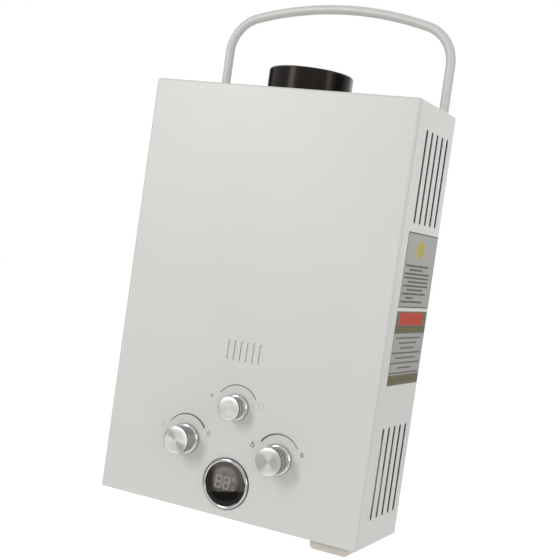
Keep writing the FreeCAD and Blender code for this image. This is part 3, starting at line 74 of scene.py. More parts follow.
def spot(x: float, y: float, z: float) -> Place:
    """Turn a place on the case into the row frame.

    Args:
        x: Millimetres right of the case's middle.
        y: Millimetres behind the front panel.
        z: Millimetres above the case's lower edge.

    Returns:
        The same place in metres, measured from the middle of the wall screws.
    """
    return tuple(Vector((x, y - WALL_PLANE, z - SCREW_CENTRE)) * MILLIMETRE)


class Facing(Enum):
    """Which way a piece's own Z points; the first two columns are its X and Y."""

    FRONT = ((1, 0, 0), (0, 0, 1), (0, -1, 0))
    RIGHT = ((0, 1, 0), (0, 0, 1), (1, 0, 0))
    REAR = ((-1, 0, 0), (0, 0, 1), (0, 1, 0))
    DOWN = ((1, 0, 0), (0, -1, 0), (0, 0, -1))
    UP = ((1, 0, 0), (0, 1, 0), (0, 0, 1))

    def matrix(self, place: Place) -> Matrix:
        """Build the matrix that carries millimetres in this facing to metres in the row frame.

        Args:
            place: Where the piece's own origin goes, in metres.

        Returns:
            The matrix with its turn, its scale and its place.
        """
        return Matrix.Translation(place) @ self.turn() @ Matrix.Scale(MILLIMETRE, 4)

    def turn(self) -> Matrix:
        """Give the turn from this facing to the row frame."""
        return Matrix(self.value).transposed().to_4x4()


class NodeBench:
    """Lays out the nodes of one node tree."""

    def __init__(self, tree: bpy.types.NodeTree) -> None:
        """Clear the tree."""
        self.tree = tree
        self.tree.nodes.clear()

    def add(self, kind: str, *inputs: object, **named: object) -> bpy.types.Node:
        """Add a node.

        Args:
            kind: Blender's name for the node type, without "ShaderNode" in front.
            *inputs: Sockets or constants for its first inputs.
            **named: Its properties, in lower case, and inputs by their names, each with a capital.

        Returns:
            The new node.
        """
        node = self.tree.nodes.new(f"ShaderNode{kind}")
        for name, value in named.items():
            if name[0].islower():
                setattr(node, name, value)
        for socket, value in zip(node.inputs, inputs):
            self.feed(socket, value)
        self.fill(node, {name: value for name, value in named.items() if name[0].isupper()})
        return node

    def fill(self, node: bpy.types.Node, values: dict[str, object]) -> None:
        """Write or link a node's inputs by name, with underscores for spaces."""
        for name, value in values.items():
            self.feed(node.inputs[name.replace("_", " ")], value)

    def feed(self, target: Socket, value: object) -> None:
        """Link a socket to a target, or write a number, a vector or a colour on it.

        Args:
            target: The input that gets it.
            value: The socket or constant.
        """
        if isinstance(value, bpy.types.NodeSocket):
            self.tree.links.new(value, target)
        elif isinstance(value, tuple) and len(value) == 3 and target.type == "RGBA":
            target.default_value = (*value, 1.0)
        else:
            target.default_value = value

    def places(self, scale: Place = (1, 1, 1), centre: Place = (0, 0, 0), turn: Place = (0, 0, 0)) -> Socket:
        """Read the object's own coordinates, moved to a centre, then turned and scaled.

        Args:
            scale: How much each direction is stretched.
            centre: The point that becomes the pattern's origin, in metres.
            turn: Turn of the pattern about each axis, in radians.

        Returns:
            The vector socket.
        """
        source = self.add("TexCoord").outputs["Object"]
        if centre != (0, 0, 0):
            source = self.add("VectorMath", source, centre, operation="SUBTRACT").outputs["Vector"]
        return self.add("Mapping", Vector=source, Scale=scale, Rotation=turn).outputs["Vector"]

    def noise(self, scale: float, detail: float = 3.0, rough: float = 0.55,
              vector: Socket | None = None) -> Socket:
        """Add cloudy noise and return its factor."""
        return self.add("TexNoise", Vector=vector or self.places(), Scale=scale, Detail=detail,
                        Roughness=rough).outputs["Fac"]

    def between(self, value: Socket, low: float, high: float, start: float = 0.0, end: float = 1.0) -> Socket:
        """Map a factor from its own range, start to end, to low and high."""
        return self.add("MapRange", clamp=True, Value=value, From_Min=start, From_Max=end, To_Min=low,
                        To_Max=high).outputs["Result"]

    def sums(self, operation: str, first: object, second: object = 0.0) -> Socket:
        """Work out one sum of numbers or sockets, by Blender's name for it."""
        return self.add("Math", first, second, operation=operation).outputs["Value"]

    def times(self, first: object, *others: object) -> Socket:
        """Multiply numbers one after another."""
        for other in others:
            first = self.sums("MULTIPLY", first, other)
        return first

    def length(self, vector: Socket) -> Socket:
        """Measure a vector."""
        return self.add("VectorMath", vector, operation="LENGTH").outputs["Value"]

    def axis(self, vector: Socket, name: str) -> Socket:
        """Take one of X, Y and Z out of a vector."""
        return self.add("SeparateXYZ", vector).outputs[name]

    def tint(self, factor: Socket, first: object, second: object) -> Socket:
        """Mix two colours by a factor.

        Args:
            factor: 0 for the first colour, 1 for the second.
            first: A colour or a colour socket.
            second: Another one.

        Returns:
            The mixed colour's socket.
        """
        node = self.add("Mix", factor, data_type="RGBA")
        colours = [socket for socket in node.inputs if socket.type == "RGBA"]
        self.feed(colours[0], first)
        self.feed(colours[1], second)
        return next(socket for socket in node.outputs if socket.type == "RGBA")

    def relief(self, height: Socket, depth: float, under: Socket | None = None) -> Socket:
        """Turn a height into a bumped normal.

        Args:
            height: The height factor.
            depth: Millimetres between a factor of 0 and of 1.
            under: A normal that this relief lies on.

        Returns:
            The normal socket.
        """
        node = self.add("Bump", Height=height, Distance=depth * MILLIMETRE, Strength=1.0)
        if under is not None:
            self.feed(node.inputs["Normal"], under)
        return node.outputs["Normal"]

    def seen(self) -> Socket:
        """Give 1 to what the camera, a reflection or a clear part shows, and 0 to what only lights."""
        paths = self.add("LightPath").outputs
        mirrored = self.sums("MAXIMUM", paths["Is Camera Ray"], paths["Is Glossy Ray"])
        return self.sums("MAXIMUM", mirrored, paths["Is Transmission Ray"])


class MaterialBench(NodeBench):
    """Lays out one material round a Principled shader."""

    def __init__(self, name: str) -> None:
        """Start an empty material with its shader and output."""
        self.material = bpy.data.materials.new(name)
        self.material.use_nodes = True
        super().__init__(self.material.node_tree)
        self.shader = self.add("BsdfPrincipled")
        self.add("OutputMaterial", Surface=self.shader.outputs["BSDF"])

    def set(self, **values: object) -> None:
        """Write or link the shader's inputs, with underscores for the spaces of their names."""
        self.fill(self.shader, values)


def shade(colour: Colour, amount: float) -> Colour:
    """Make a colour lighter or darker by a factor."""
    return tuple(min(1.0, part * amount) for part in colour)


@dataclass(frozen=True)
class Finish:
    """One surface finish; the same finish is built once and shared."""

    name: str

    def lay(self, bench: MaterialBench) -> None:
        """Lay the finish's nodes on a bench."""
        raise NotImplementedError

    def material(self) -> bpy.types.Material:
        """Build this finish, or find it if it was laid before.

        Returns:
            The material.
        """
        if self.name not in laid:
            bench = MaterialBench(self.name)
            self.lay(bench)
            laid[self.name] = bench.material
        return laid[self.name]


@dataclass(frozen=True)
class Pattern:
    """One procedural pattern: noise, or the kind that is named. For bands, rough is how far they wander."""

    scale: float
    detail: float = 3.0
    rough: float = 0.55
    stretch: Place = (1, 1, 1)
    kind: str = "noise"

    def lay(self, bench: MaterialBench) -> Socket:
        """Lay the pattern on a bench and return its factor."""
        if self.kind == "cells":
            return bench.add("TexVoronoi", Vector=bench.places(), Scale=self.scale).outputs["Distance"]
        if self.kind == "bands":
            return bench.add("TexWave", bands_direction="Z", Vector=bench.places(), Scale=self.scale,
                             Distortion=self.rough).outputs["Fac"]
        return bench.noise(self.scale, self.detail, self.rough, bench.places(self.stretch))


@dataclass(frozen=True)
class Surface(Finish):
    """Finish with a pattern in its colour, its gloss and its relief.

    A span says what a pattern's factor gives at its low and high end, and where on the factor these ends lie.
    """

    first: Colour
    second: Colour
    tone: Pattern
    tone_span: Span
    gloss: Pattern
    gloss_span: Span
    relief: Pattern
    depth: float
    metallic: float = 0.0
    specular: float = 0.5
    alpha: float = 1.0

    def lay(self, bench: MaterialBench) -> None:
        """Lay the three patterns, each of them once."""
        patterns = dict.fromkeys((self.tone, self.gloss, self.relief))
        factors = {pattern: pattern.lay(bench) for pattern in patterns}
        tone = bench.between(factors[self.tone], *self.tone_span)
        bench.set(
            Base_Color=bench.tint(tone, self.first, self.second),
            Metallic=self.metallic,
            Roughness=bench.between(factors[self.gloss], *self.gloss_span),
            Normal=bench.relief(factors[self.relief], self.depth),
            Specular_IOR_Level=self.specular,
            Alpha=self.alpha)


def zinc_plate(name: str, colour: Colour = (0.56, 0.57, 0.58), rough: float = 0.34) -> Surface:
    """Zinc-plated steel: spangle in its colour, light scratches in its gloss."""
    scratches = Pattern(300.0, 5.0, 0.7, (1, 1, 0.06))
    return Surface(name, shade(colour, 0.88), colour, Pattern(260.0, kind="cells"), (0.0, 1.0, 0.0, 0.8),
                   scratches, (rough - 0.07, rough + 0.10, *MIDDLE), scratches, 0.006, metallic=1.0)


def rolled_stainless(name: str, colour: Colour, hot: Colour) -> Surface:
    """Rolled stainless sheet, grained along one direction, with heat colour where it burns."""
    grain = Pattern(500.0, 4.0, 0.65, (0.04, 1, 1))
    return Surface(name, colour, hot, Pattern(45.0), (0.0, 0.8, 0.5, 0.75),
                   grain, (0.26, 0.42, *MIDDLE), grain, 0.005, metallic=1.0)


def moulded_plastic(name: str, colour: Colour, rough: float = 0.42, depth: float = 0.02) -> Surface:
    """Moulded plastic with faint flow clouds and a fine spark-eroded grain."""
    grain = Pattern(800.0, 2.0, 0.6)
    return Surface(name, shade(colour, 0.97), shade(colour, 1.03), Pattern(30.0, 2.0), (0.0, 1.0, *MIDDLE),
                   grain, (rough - 0.05, rough + 0.08, *MIDDLE), grain, depth, specular=0.45)


def screen_ink(name: str, colour: Colour) -> Surface:
    """Matt screen-printed ink with small thin spots."""
    thin = Pattern(900.0)
    return Surface(name, colour, shade(colour, 1.6), thin, (0.0, 0.35, 0.55, 0.8),
                   thin, (0.5, 0.65, *MIDDLE), thin, 0.002, specular=0.2)


def brushed_foil(name: str, colour: Colour, metallic: float = 0.35) -> Surface:
    """Self-adhesive metal foil, brushed along its length."""
    brushed = Pattern(900.0, 3.0, 0.6, (1, 0.03, 1))
    return Surface(name, shade(colour, 0.93), shade(colour, 1.05), brushed, (0.0, 1.0, *MIDDLE), brushed,
                   (0.38, 0.52, *MIDDLE), brushed, 0.002, metallic=metallic)


DULLED = Pattern(38.0, 5.0, 0.62)
COPPER = Surface("bare_copper", (0.62, 0.27, 0.16), (0.30, 0.14, 0.09), DULLED, (0.0, 1.0, 0.42, 0.72),
                 DULLED, (0.26, 0.50, 0.35, 0.7), Pattern(260.0, 4.0, 0.7, (1, 1, 0.08)), 0.008, metallic=1.0)
TARNISH = Pattern(70.0, 4.0)
BRASS = Surface("turned_brass", (0.66, 0.45, 0.17), (0.40, 0.26, 0.10), TARNISH, (0.0, 0.8, 0.45, 0.75),
                TARNISH, (0.20, 0.38, 0.35, 0.7),
                Pattern(420.0, rough=0.6, kind="bands"), 0.004, metallic=1.0)
CAST_SKIN = Pattern(520.0, 4.0, 0.7)
CAST_ALLOY = Surface("die_cast", (0.3995, 0.408, 0.4165), (0.47, 0.48, 0.49), Pattern(40.0),
                     (0.0, 1.0, 0.35, 0.7), CAST_SKIN, (0.46, 0.62, *MIDDLE), CAST_SKIN, 0.03, metallic=0.9)
POLISH = Pattern(240.0, 2.0)
CHROME = Surface("bright_chrome", (0.50, 0.50, 0.50), (0.47, 0.47, 0.47), POLISH, (0.0, 1.0, *MIDDLE),
                 POLISH, (0.05, 0.10, *MIDDLE), POLISH, 0.002, metallic=1.0)
FLAKES = Pattern(180.0, kind="cells")
MICA = Surface("clear_mica", (0.84, 0.83, 0.78), (0.672, 0.664, 0.624), FLAKES, (0.0, 1.0, 0.0, 1.0),
               FLAKES, (0.12, 0.35, 0.0, 1.0), FLAKES, 0.0, alpha=0.96)
GLAZE = Pattern(140.0, 2.0)
CERAMIC = Surface("glazed_ceramic", (0.74, 0.72, 0.66), (0.444, 0.432, 0.396),
                  Pattern(900.0, kind="cells"), (1.0, 0.0, 0.0, 0.12),
                  GLAZE, (0.12, 0.22, *MIDDLE), GLAZE, 0.01)
BLOOM = Pattern(60.0, 4.0)
RUBBER = Surface("soft_rubber", (0.022, 0.022, 0.022), (0.07, 0.07, 0.068), BLOOM, (0.0, 0.5, 0.45, 0.8),
                 BLOOM, (0.6, 0.8, *MIDDLE), Pattern(900.0, 2.0), 0.01)
ZINC = zinc_plate("bright_zinc")
SPRING_STEEL = rolled_stainless("spring_steel", (0.45, 0.45, 0.46), (0.40, 0.40, 0.41))


@dataclass(frozen=True)
class PowderCoat(Finish):
    """Baked powder coat on sheet steel: a fine orange peel with a satin gloss."""

    colour: Colour
    rough: float = 0.36
    peel: float = 0.012

    def body(self, bench: MaterialBench) -> Socket:
        """Mix the coat's colour with its faint clouds."""
        clouds = bench.between(bench.noise(9.0, 2.0), 0.0, 1.0, *MIDDLE)
        return bench.tint(clouds, shade(self.colour, 0.985), shade(self.colour, 1.012))

    def lay(self, bench: MaterialBench) -> None:
        """Lay a colour with faint clouds, a peel relief and a slightly uneven gloss."""
        fine = bench.noise(420.0, 2.0)
        bench.set(
            Base_Color=self.body(bench),
            Roughness=bench.between(fine, self.rough - 0.03, self.rough + 0.04, *MIDDLE),
            Normal=bench.relief(bench.noise(900.0, 1.0), self.peel, bench.relief(fine, self.peel * 1.5)),
            Specular_IOR_Level=0.45)


@dataclass(frozen=True)
class CaseCoat(PowderCoat):
    """The case's powder coat, with painted shade: every surface deeper than the sheet's outer skin gets a
    near-black colour for the shade inside the louvres and openings.
    """

    # The near-black inner colour below is painted shade for the inner surfaces seen through the louvres and
    # openings.
    inside_shade: Colour = (0.10, 0.102, 0.092)
    half_width: float = 145.0
    half_height: float = 215.0
    rear: float = 109.4
    corner: float = 3.0
    skin: float = 0.6

    def body(self, bench: MaterialBench) -> Socket:
        """Mix the outer coat with the painted shade colour wherever the place lies deeper than the sheet's own
        skin.
        """
        place = bench.places(centre=spot(0, self.corner, self.half_height))
        depth = bench.axis(place, "Y")
        past = {"Y": bench.times(depth, -1.0)}
        for name, reach in (("X", self.half_width), ("Z", self.half_height)):
            size = bench.sums("ABSOLUTE", bench.axis(place, name))
            past[name] = bench.sums("SUBTRACT", size, (reach - self.corner) * MILLIMETRE)
        past = {name: bench.sums("MAXIMUM", distance) for name, distance in past.items()}
        reach = bench.length(bench.add("CombineXYZ", **past).outputs["Vector"])
        within = bench.sums("LESS_THAN", reach, (self.corner - self.skin) * MILLIMETRE)
        ahead = bench.sums("LESS_THAN", depth, (self.rear - self.corner) * MILLIMETRE)
        # Inner surfaces get the painted shade colour.
        return bench.tint(bench.times(within, ahead), super().body(bench), self.inside_shade)


@dataclass(frozen=True)
class StoveEnamel(Finish):
    """Heat-proof black enamel on the flue: brown-black, a little browner where the hot gas leaves."""

    colour: Colour = (0.006, 0.0052, 0.0046)
    tanned: Colour = (0.012, 0.009, 0.007)
    tan_start: float = 0.200
    tan_end: float = 0.240

    def lay(self, bench: MaterialBench) -> None:
        """Lay the enamel with its heat tan, cloudy gloss and fine grain."""
        clouds = bench.noise(60.0, 4.0)
        height = bench.axis(bench.places(), "Z")
        tan = bench.times(bench.between(height, 0.0, 1.0, self.tan_start, self.tan_end), clouds)
        bench.set(
            Base_Color=bench.tint(tan, self.colour, self.tanned),
            Roughness=bench.between(clouds, 0.20, 0.27, *MIDDLE),
            Normal=bench.relief(bench.noise(700.0, 2.0), 0.004),
            Specular_Tint=(1.0, 0.90, 0.84),
            Specular_IOR_Level=0.15)


@dataclass(frozen=True)
class SpunAluminium(Finish):
    """Aluminium turned on its face, with a painted highlight in two opposite wedges of its colour and painted
    shade between them.
    """

    centre: Place = (0, 0, 0)
    highlight_turn: float = 0.0
    highlight_reach: Pair = (-1.0, 0.9)
    edge: float = 12.6
    band: Pair = (18.0, 20.0)
    # The face colour below is the wedges' painted highlight; shadow is the painted shade between the wedges.
    colour: Colour = (0.68, 0.68, 0.66)
    shadow: Colour = (0.36, 0.36, 0.345)
    rim: Colour = (0.42, 0.42, 0.41)
    # The dark colour below is a painted dark reflection for the polished band on the face's rounded side.
    dark: Colour = (0.03, 0.03, 0.03)
    highlight_share: float = 0.85
    polish: float = 0.26

    def painted_highlight_wedges(self, bench: MaterialBench) -> Socket:
        """Give a factor that is high in the two opposite wedges of the face that carry the painted highlight.
        """
        flat = bench.places(centre=self.centre, turn=(math.pi / 2, 0, 0))
        turned = bench.add("Mapping", flat, Rotation=(0, 0, self.highlight_turn)).outputs["Vector"]
        around = bench.add("TexGradient", turned, gradient_type="RADIAL").outputs["Fac"]
        folded = bench.sums("COSINE", bench.times(around, 4 * math.pi))
        return bench.between(folded, 0.0, 1.0, *self.highlight_reach)

    def polished_band(self, bench: MaterialBench, rolled: Socket) -> Socket:
        """Give 1 on the polished band, on the face's rounded side only, where a dark reflection is painted."""
        height = bench.times(bench.axis(bench.places(centre=self.centre), "Y"), -1 / MILLIMETRE)
        return bench.times(bench.sums("GREATER_THAN", height, self.band[0]),
                           bench.sums("LESS_THAN", height, self.band[1]), rolled)

    def lay(self, bench: MaterialBench) -> None:
        """Lay the turning marks along the piece's round UV map, its painted highlight wedges, the painted dark
        reflection on its polished band, and its gloss.
        """
        tangent = bench.add("Tangent", direction_type="UV_MAP", uv_map="Round")
        round_map = bench.add("UVMap", uv_map="Round").outputs["UV"]
        drawn = bench.add("Mapping", round_map, Scale=(3.0, 260.0, 1.0))
        marks = bench.noise(4.0, 3.0, 0.6, drawn.outputs["Vector"])
        # Painted highlight: the face colour follows the two wedges.
        mixed = bench.sums("ADD", bench.times(self.painted_highlight_wedges(bench), self.highlight_share),
                           bench.between(marks, -0.1, 0.25, *MIDDLE))
        reach = bench.length(bench.places((1, 0, 1), self.centre))
        rolled = bench.sums("GREATER_THAN", reach, self.edge * MILLIMETRE)
        polished = self.polished_band(bench, rolled)
        face = bench.tint(mixed, self.shadow, self.colour)
        gloss = bench.between(marks, 0.34, 0.44, *MIDDLE)
        # The rounded side's polished band gets the painted dark reflection.
        bench.set(
            Base_Color=bench.tint(rolled, face, bench.tint(polished, self.rim, self.dark)),
            Metallic=1.0,
            Roughness=bench.sums("SUBTRACT", gloss, bench.times(polished, self.polish)),
            Anisotropic=0.25,
            Tangent=tangent.outputs["Tangent"],
            Normal=bench.relief(marks, 0.003))


@dataclass(frozen=True)
class KnurledMetal(Finish):
    """Grey anodised skirt with a diamond knurl, lighter on its peaks and with painted shade in its valleys;
    the knurl itself is in the mesh.
    """

    centre: Place = (0, 0, 0)
    outer: float = 13.5
    depth: float = 0.42
    # The valley colour below is painted shade for the knurl's recesses.
    valley_shade: Colour = (0.17, 0.17, 0.165)
    peak: Colour = (0.74, 0.74, 0.72)

    def lay(self, bench: MaterialBench) -> None:
        """Lay a matt anodised colour with painted shade towards the knurl's valleys."""
        worn = bench.noise(350.0)
        reach = bench.length(bench.places((1, 0, 1), self.centre))
        raised = bench.between(reach, 0.0, 1.0, (self.outer - self.depth) * MILLIMETRE,
                               self.outer * MILLIMETRE)
        # Painted shade: darker towards the knurl's valleys.
        bench.set(
            Base_Color=bench.tint(raised, self.valley_shade, self.peak),
            Metallic=0.85,
            Roughness=bench.between(worn, 0.36, 0.50, *MIDDLE),
            Normal=bench.relief(worn, 0.006))


@dataclass(frozen=True)
class DisplayLens(Finish):
    """Smoked lens: black rim with the pale display field that shows through its upper part; the field carries
    a painted dark reflection towards its left and painted light rising towards its top.
    """

    centre: Place = (0, 0, 0)
    black: Colour = (0.010, 0.0098, 0.009)
    smoke: Colour = (0.24, 0.212, 0.195)
    field_low: float = -7.6
    field_rise: float = 3.0
    field_reach: float = 14.0
    field_lean: float = 0.2
    level_soft: Pair = (-0.8, 1.0)
    disc_soft: Pair = (-1.2, 1.6)
    outside: float = 0.42
    # The next two ends paint a dark reflection of the ring's inner wall on the field's left, and light rising
    # towards its top.
    painted_left_reflection: Pair = (-17.0, -12.0)
    painted_light_top: float = 15.0

    @staticmethod
    def ramp(bench: MaterialBench, value: Socket, ends: Pair, low: float = 0.0, high: float = 1.0) -> Socket:
        """Map a distance in metres to a factor, low before and high behind two ends in millimetres."""
        return bench.between(value, low, high, *(end * MILLIMETRE for end in ends))

    def field_share(self, bench: MaterialBench) -> Socket:
        """Lay how much of the pale field shows: a soft disc cut off by a level edge, darker towards the left
        as a painted reflection of the ring's inner wall and lighter towards the top as painted light.
        """
        height, side = (bench.axis(bench.places(centre=self.centre), name) for name in "ZX")
        leaning = bench.sums("SUBTRACT", height, bench.times(side, self.field_lean))
        raised = (self.centre[0], self.centre[1], self.centre[2] + self.field_rise * MILLIMETRE)
        reach = bench.length(bench.places((1, 0, 1), raised))
        level = tuple(self.field_low + end for end in self.level_soft)
        disc = tuple(self.field_reach + end for end in self.disc_soft)
        # The side ramp paints a dark reflection on the left; the height ramp paints light rising towards the
        # top.
        return bench.times(
            self.ramp(bench, leaning, level),
            self.ramp(bench, reach, disc, 1.0, self.outside),
            self.ramp(bench, side, self.painted_left_reflection, 0.1),
            self.ramp(bench, height, (self.field_low, self.painted_light_top), 0.5),
            bench.between(bench.noise(110.0, 2.0), 0.75, 1.1, *MIDDLE))

    def lay(self, bench: MaterialBench) -> None:
        """Lay the lighter field and a faint dust."""
        bench.set(
            Base_Color=bench.tint(self.field_share(bench), self.black, self.smoke),
            Roughness=bench.between(bench.noise(500.0, 2.0), 0.04, 0.09, *MIDDLE),
            Specular_IOR_Level=0.12)


@dataclass(frozen=True)
class CellJacket(Finish):
    """Plain dry-cell jacket: dark body with a copper band towards its button end."""

    body: Colour = (0.03, 0.05, 0.045)
    band: Colour = (0.52, 0.27, 0.12)
    steel: Colour = (0.55, 0.56, 0.57)
    front: float = 21.8
    band_start: float = 40.0
    steel_start: float = 57.5
    seam: float = 0.3

    def behind(self, bench: MaterialBench, start: float) -> Socket:
        """Give 1 behind a place on the cell's length, in millimetres from its front end, and 0 before it."""
        place = (self.front + start - WALL_PLANE) * MILLIMETRE
        return bench.between(bench.axis(bench.places(), "Y"), 0.0, 1.0, place, place + self.seam * MILLIMETRE)

    def lay(self, bench: MaterialBench) -> None:
        """Lay the bands along the cell's length."""
        coloured = bench.tint(self.behind(bench, self.band_start), self.body, self.band)
        ends = self.behind(bench, self.steel_start)
        scuffs = bench.noise(240.0, 4.0)
        bench.set(
            Base_Color=bench.tint(ends, coloured, self.steel),
            Metallic=bench.between(ends, 0.25, 1.0),
            Roughness=bench.between(scuffs, 0.24, 0.40, *MIDDLE),
            Normal=bench.relief(scuffs, 0.004))


LENS = DisplayLens("smoked_lens", spot(0, 0, DISPLAY_HEIGHT))


def corners_of(geometry: list) -> list:
    """Pick the corners out of what an operator made."""
    return [item for item in geometry if isinstance(item, bmesh.types.BMVert)]


def placed(name: str, data: bpy.types.ID) -> bpy.types.Object:
    """Make an object of its data and link it to the scene."""
    thing = bpy.data.objects.new(name, data)
    bpy.context.scene.collection.objects.link(thing)
    return thing


def mesh_object(name: str, mesh: bmesh.types.BMesh, material: bpy.types.Material) -> bpy.types.Object:
    """Turn a finished mesh into an object of the scene, and free the mesh.

    Args:
        name: The object's name.
        mesh: The mesh, in metres in the row frame.
        material: Its material.

    Returns:
        The new object, at the origin.
    """
    data = bpy.data.meshes.new(name)
    mesh.to_mesh(data)
    mesh.free()
    data.materials.append(material)
    return placed(name, data)


@dataclass
class Piece:
    """A mesh in the making, worked in millimetres in its own facing about its place in the row frame."""

    name: str
    facing: Facing
    place: Place
    mesh: bmesh.types.BMesh = field(default_factory=bmesh.new)

    def spin(self, geometry: list, turn: float, steps: int, rise: float = 0.0,
             centre: Pair = (0.0, 0.0), merge: bool = False) -> list:
        """Sweep corners and edges round an upright axis.

        Args:
            geometry: The corners and edges.
            turn: The angle in radians.
            steps: How many steps make the turn.
            rise: How far each step climbs.
            centre: Where the axis stands in the piece's own plane.
            merge: Whether the last step joins the first.

        Returns:
            The corners and edges of the last step.
        """
        return bmesh.ops.spin(self.mesh, geom=geometry, cent=(*centre, 0), axis=(0, 0, 1), dvec=(0, 0, rise),
                              angle=turn, steps=steps, use_merge=merge, use_normal_flip=False,
                              use_duplicate=False)["geom_last"]

    def turned(self, profile: Profile, steps: int = 96, centre: Pair = (0.0, 0.0)) -> None:
        """Spin a closed profile of radius and height pairs a full turn.

        Args:
            profile: The corners of the profile.
            steps: How many steps make the full turn.
            centre: Where the axis stands in the piece's own plane.
        """
        points = [self.mesh.verts.new((radius + centre[0], centre[1], height)) for radius, height in profile]
        edges = [self.mesh.edges.new(pair) for pair in zip(points, [*points[1:], points[0]])]
        self.spin([*points, *edges], 2 * math.pi, steps, 0.0, centre, True)
        bmesh.ops.remove_doubles(self.mesh, verts=self.mesh.verts[:], dist=1e-4)
        bmesh.ops.dissolve_degenerate(self.mesh, dist=1e-4, edges=self.mesh.edges[:])

    def lift(self, faces: list, height: float) -> None:
        """Extrude faces upward and keep them as the floor.

        Args:
            faces: The faces.
            height: How far they rise.
        """
        raised = bmesh.ops.extrude_face_region(self.mesh, geom=faces, use_keep_orig=True)["geom"]
        bmesh.ops.translate(self.mesh, verts=corners_of(raised), vec=(0, 0, height))

    def plate(self, corners: Profile, thickness: float, floor: float = 0.0) -> None:
        """Extrude a flat outline.

        Args:
            corners: The outline's corners in the piece's own plane, anticlockwise.
            thickness: How far it rises.
            floor: Where it starts.
        """
        points = [self.mesh.verts.new((x, y, floor)) for x, y in corners]
        self.lift([self.mesh.faces.new(points)], thickness)

    def hoop(self, corners: Profile, width: float, thickness: float) -> None:
        """Make a raised outline of a shape by insetting it and taking out its middle.

        Args:
            corners: The shape's corners, anticlockwise.
            width: How wide the line is.
            thickness: How far it rises.
        """
        flat = self.mesh.faces.new([self.mesh.verts.new((x, y, 0)) for x, y in corners])
        flat.normal_update()
        ring = bmesh.ops.inset_region(self.mesh, faces=[flat], thickness=width, depth=0, use_even_offset=True,
                                      use_boundary=True)["faces"]
        bmesh.ops.delete(self.mesh, geom=[flat], context="FACES_ONLY")
        self.lift(ring, thickness)

    def round_uv(self) -> None:
        """Lay a UV map whose U runs round the axis and V is the distance from it."""
        layer = self.mesh.loops.layers.uv.new("Round")
        for face in self.mesh.faces:
            middle = face.calc_center_median()
            home = math.atan2(middle.y, middle.x)
            for loop in face.loops:
                x, y = loop.vert.co.x, loop.vert.co.y
                radius = math.hypot(x, y)
                angle = math.atan2(y, x) if radius > 1e-3 else home
                while angle - home > math.pi:
                    angle -= 2 * math.pi
                while angle - home < -math.pi:
                    angle += 2 * math.pi
                loop[layer].uv = (angle / (2 * math.pi) + 1.0, radius * 0.02)

    def dress(self, finish: Finish, slot: str, stands_for: Sequence[str] = (), body: str = "heater",
              smooth: bool = True) -> bpy.types.Object:
        """Turn the mesh into an object of the frame with its finish.

        Args:
            finish: The surface finish.
            slot: The record's material slot; not used.
            stands_for: CAD nodes that it replaces.
            body: The CAD body it moves with.
            smooth: Whether faces are shaded round, with sharp edges kept.

        Returns:
            The new object.
        """
        bmesh.ops.recalc_face_normals(self.mesh, faces=self.mesh.faces[:])
        for face in self.mesh.faces:
            face.smooth = smooth
        for edge in self.mesh.edges:
            edge.smooth = len(edge.link_faces) == 2 and edge.calc_face_angle(0.0) < SHARP_ANGLE
        bmesh.ops.transform(self.mesh, matrix=self.facing.matrix(self.place), verts=self.mesh.verts[:])
        thing = mesh_object(self.name, self.mesh, finish.material())
        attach(thing, body)
        if stands_for:
            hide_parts(*stands_for)
        log.info("%s rides on %s", self.name, body)
        return thing


def arc_points(centre: Pair, radius: float, start: float, end: float, steps: int) -> list:
    """Give points along an arc.

    Args:
        centre: The arc's centre.
        radius: Its radius.
        start: First angle in degrees, anticlockwise from the right.
        end: Last angle in degrees.
        steps: How many steps lie between the ends.

    Returns:
        The points as pairs.
    """
    angles = [math.radians(start + (end - start) * number / steps) for number in range(steps + 1)]
    return [(centre[0] + radius * math.cos(angle), centre[1] + radius * math.sin(angle)) for angle in angles]


def rounded_corners(low: Pair, high: Pair, radius: float, steps: int = 5) -> list:
    """Give the outline of a rectangle with round corners, anticlockwise.

    Args:
        low: Its lower left corner.
        high: Its upper right corner.
        radius: Radius of its corners.
        steps: How many steps make one corner.

    Returns:
        The points as pairs.
    """
    points: list = []
    for x, y, start in ((high[0] - radius, high[1] - radius, 0), (low[0] + radius, high[1] - radius, 90),
                        (low[0] + radius, low[1] + radius, 180), (high[0] - radius, low[1] + radius, 270)):
        points += arc_points((x, y), radius, start, start + 90, steps)
    return points


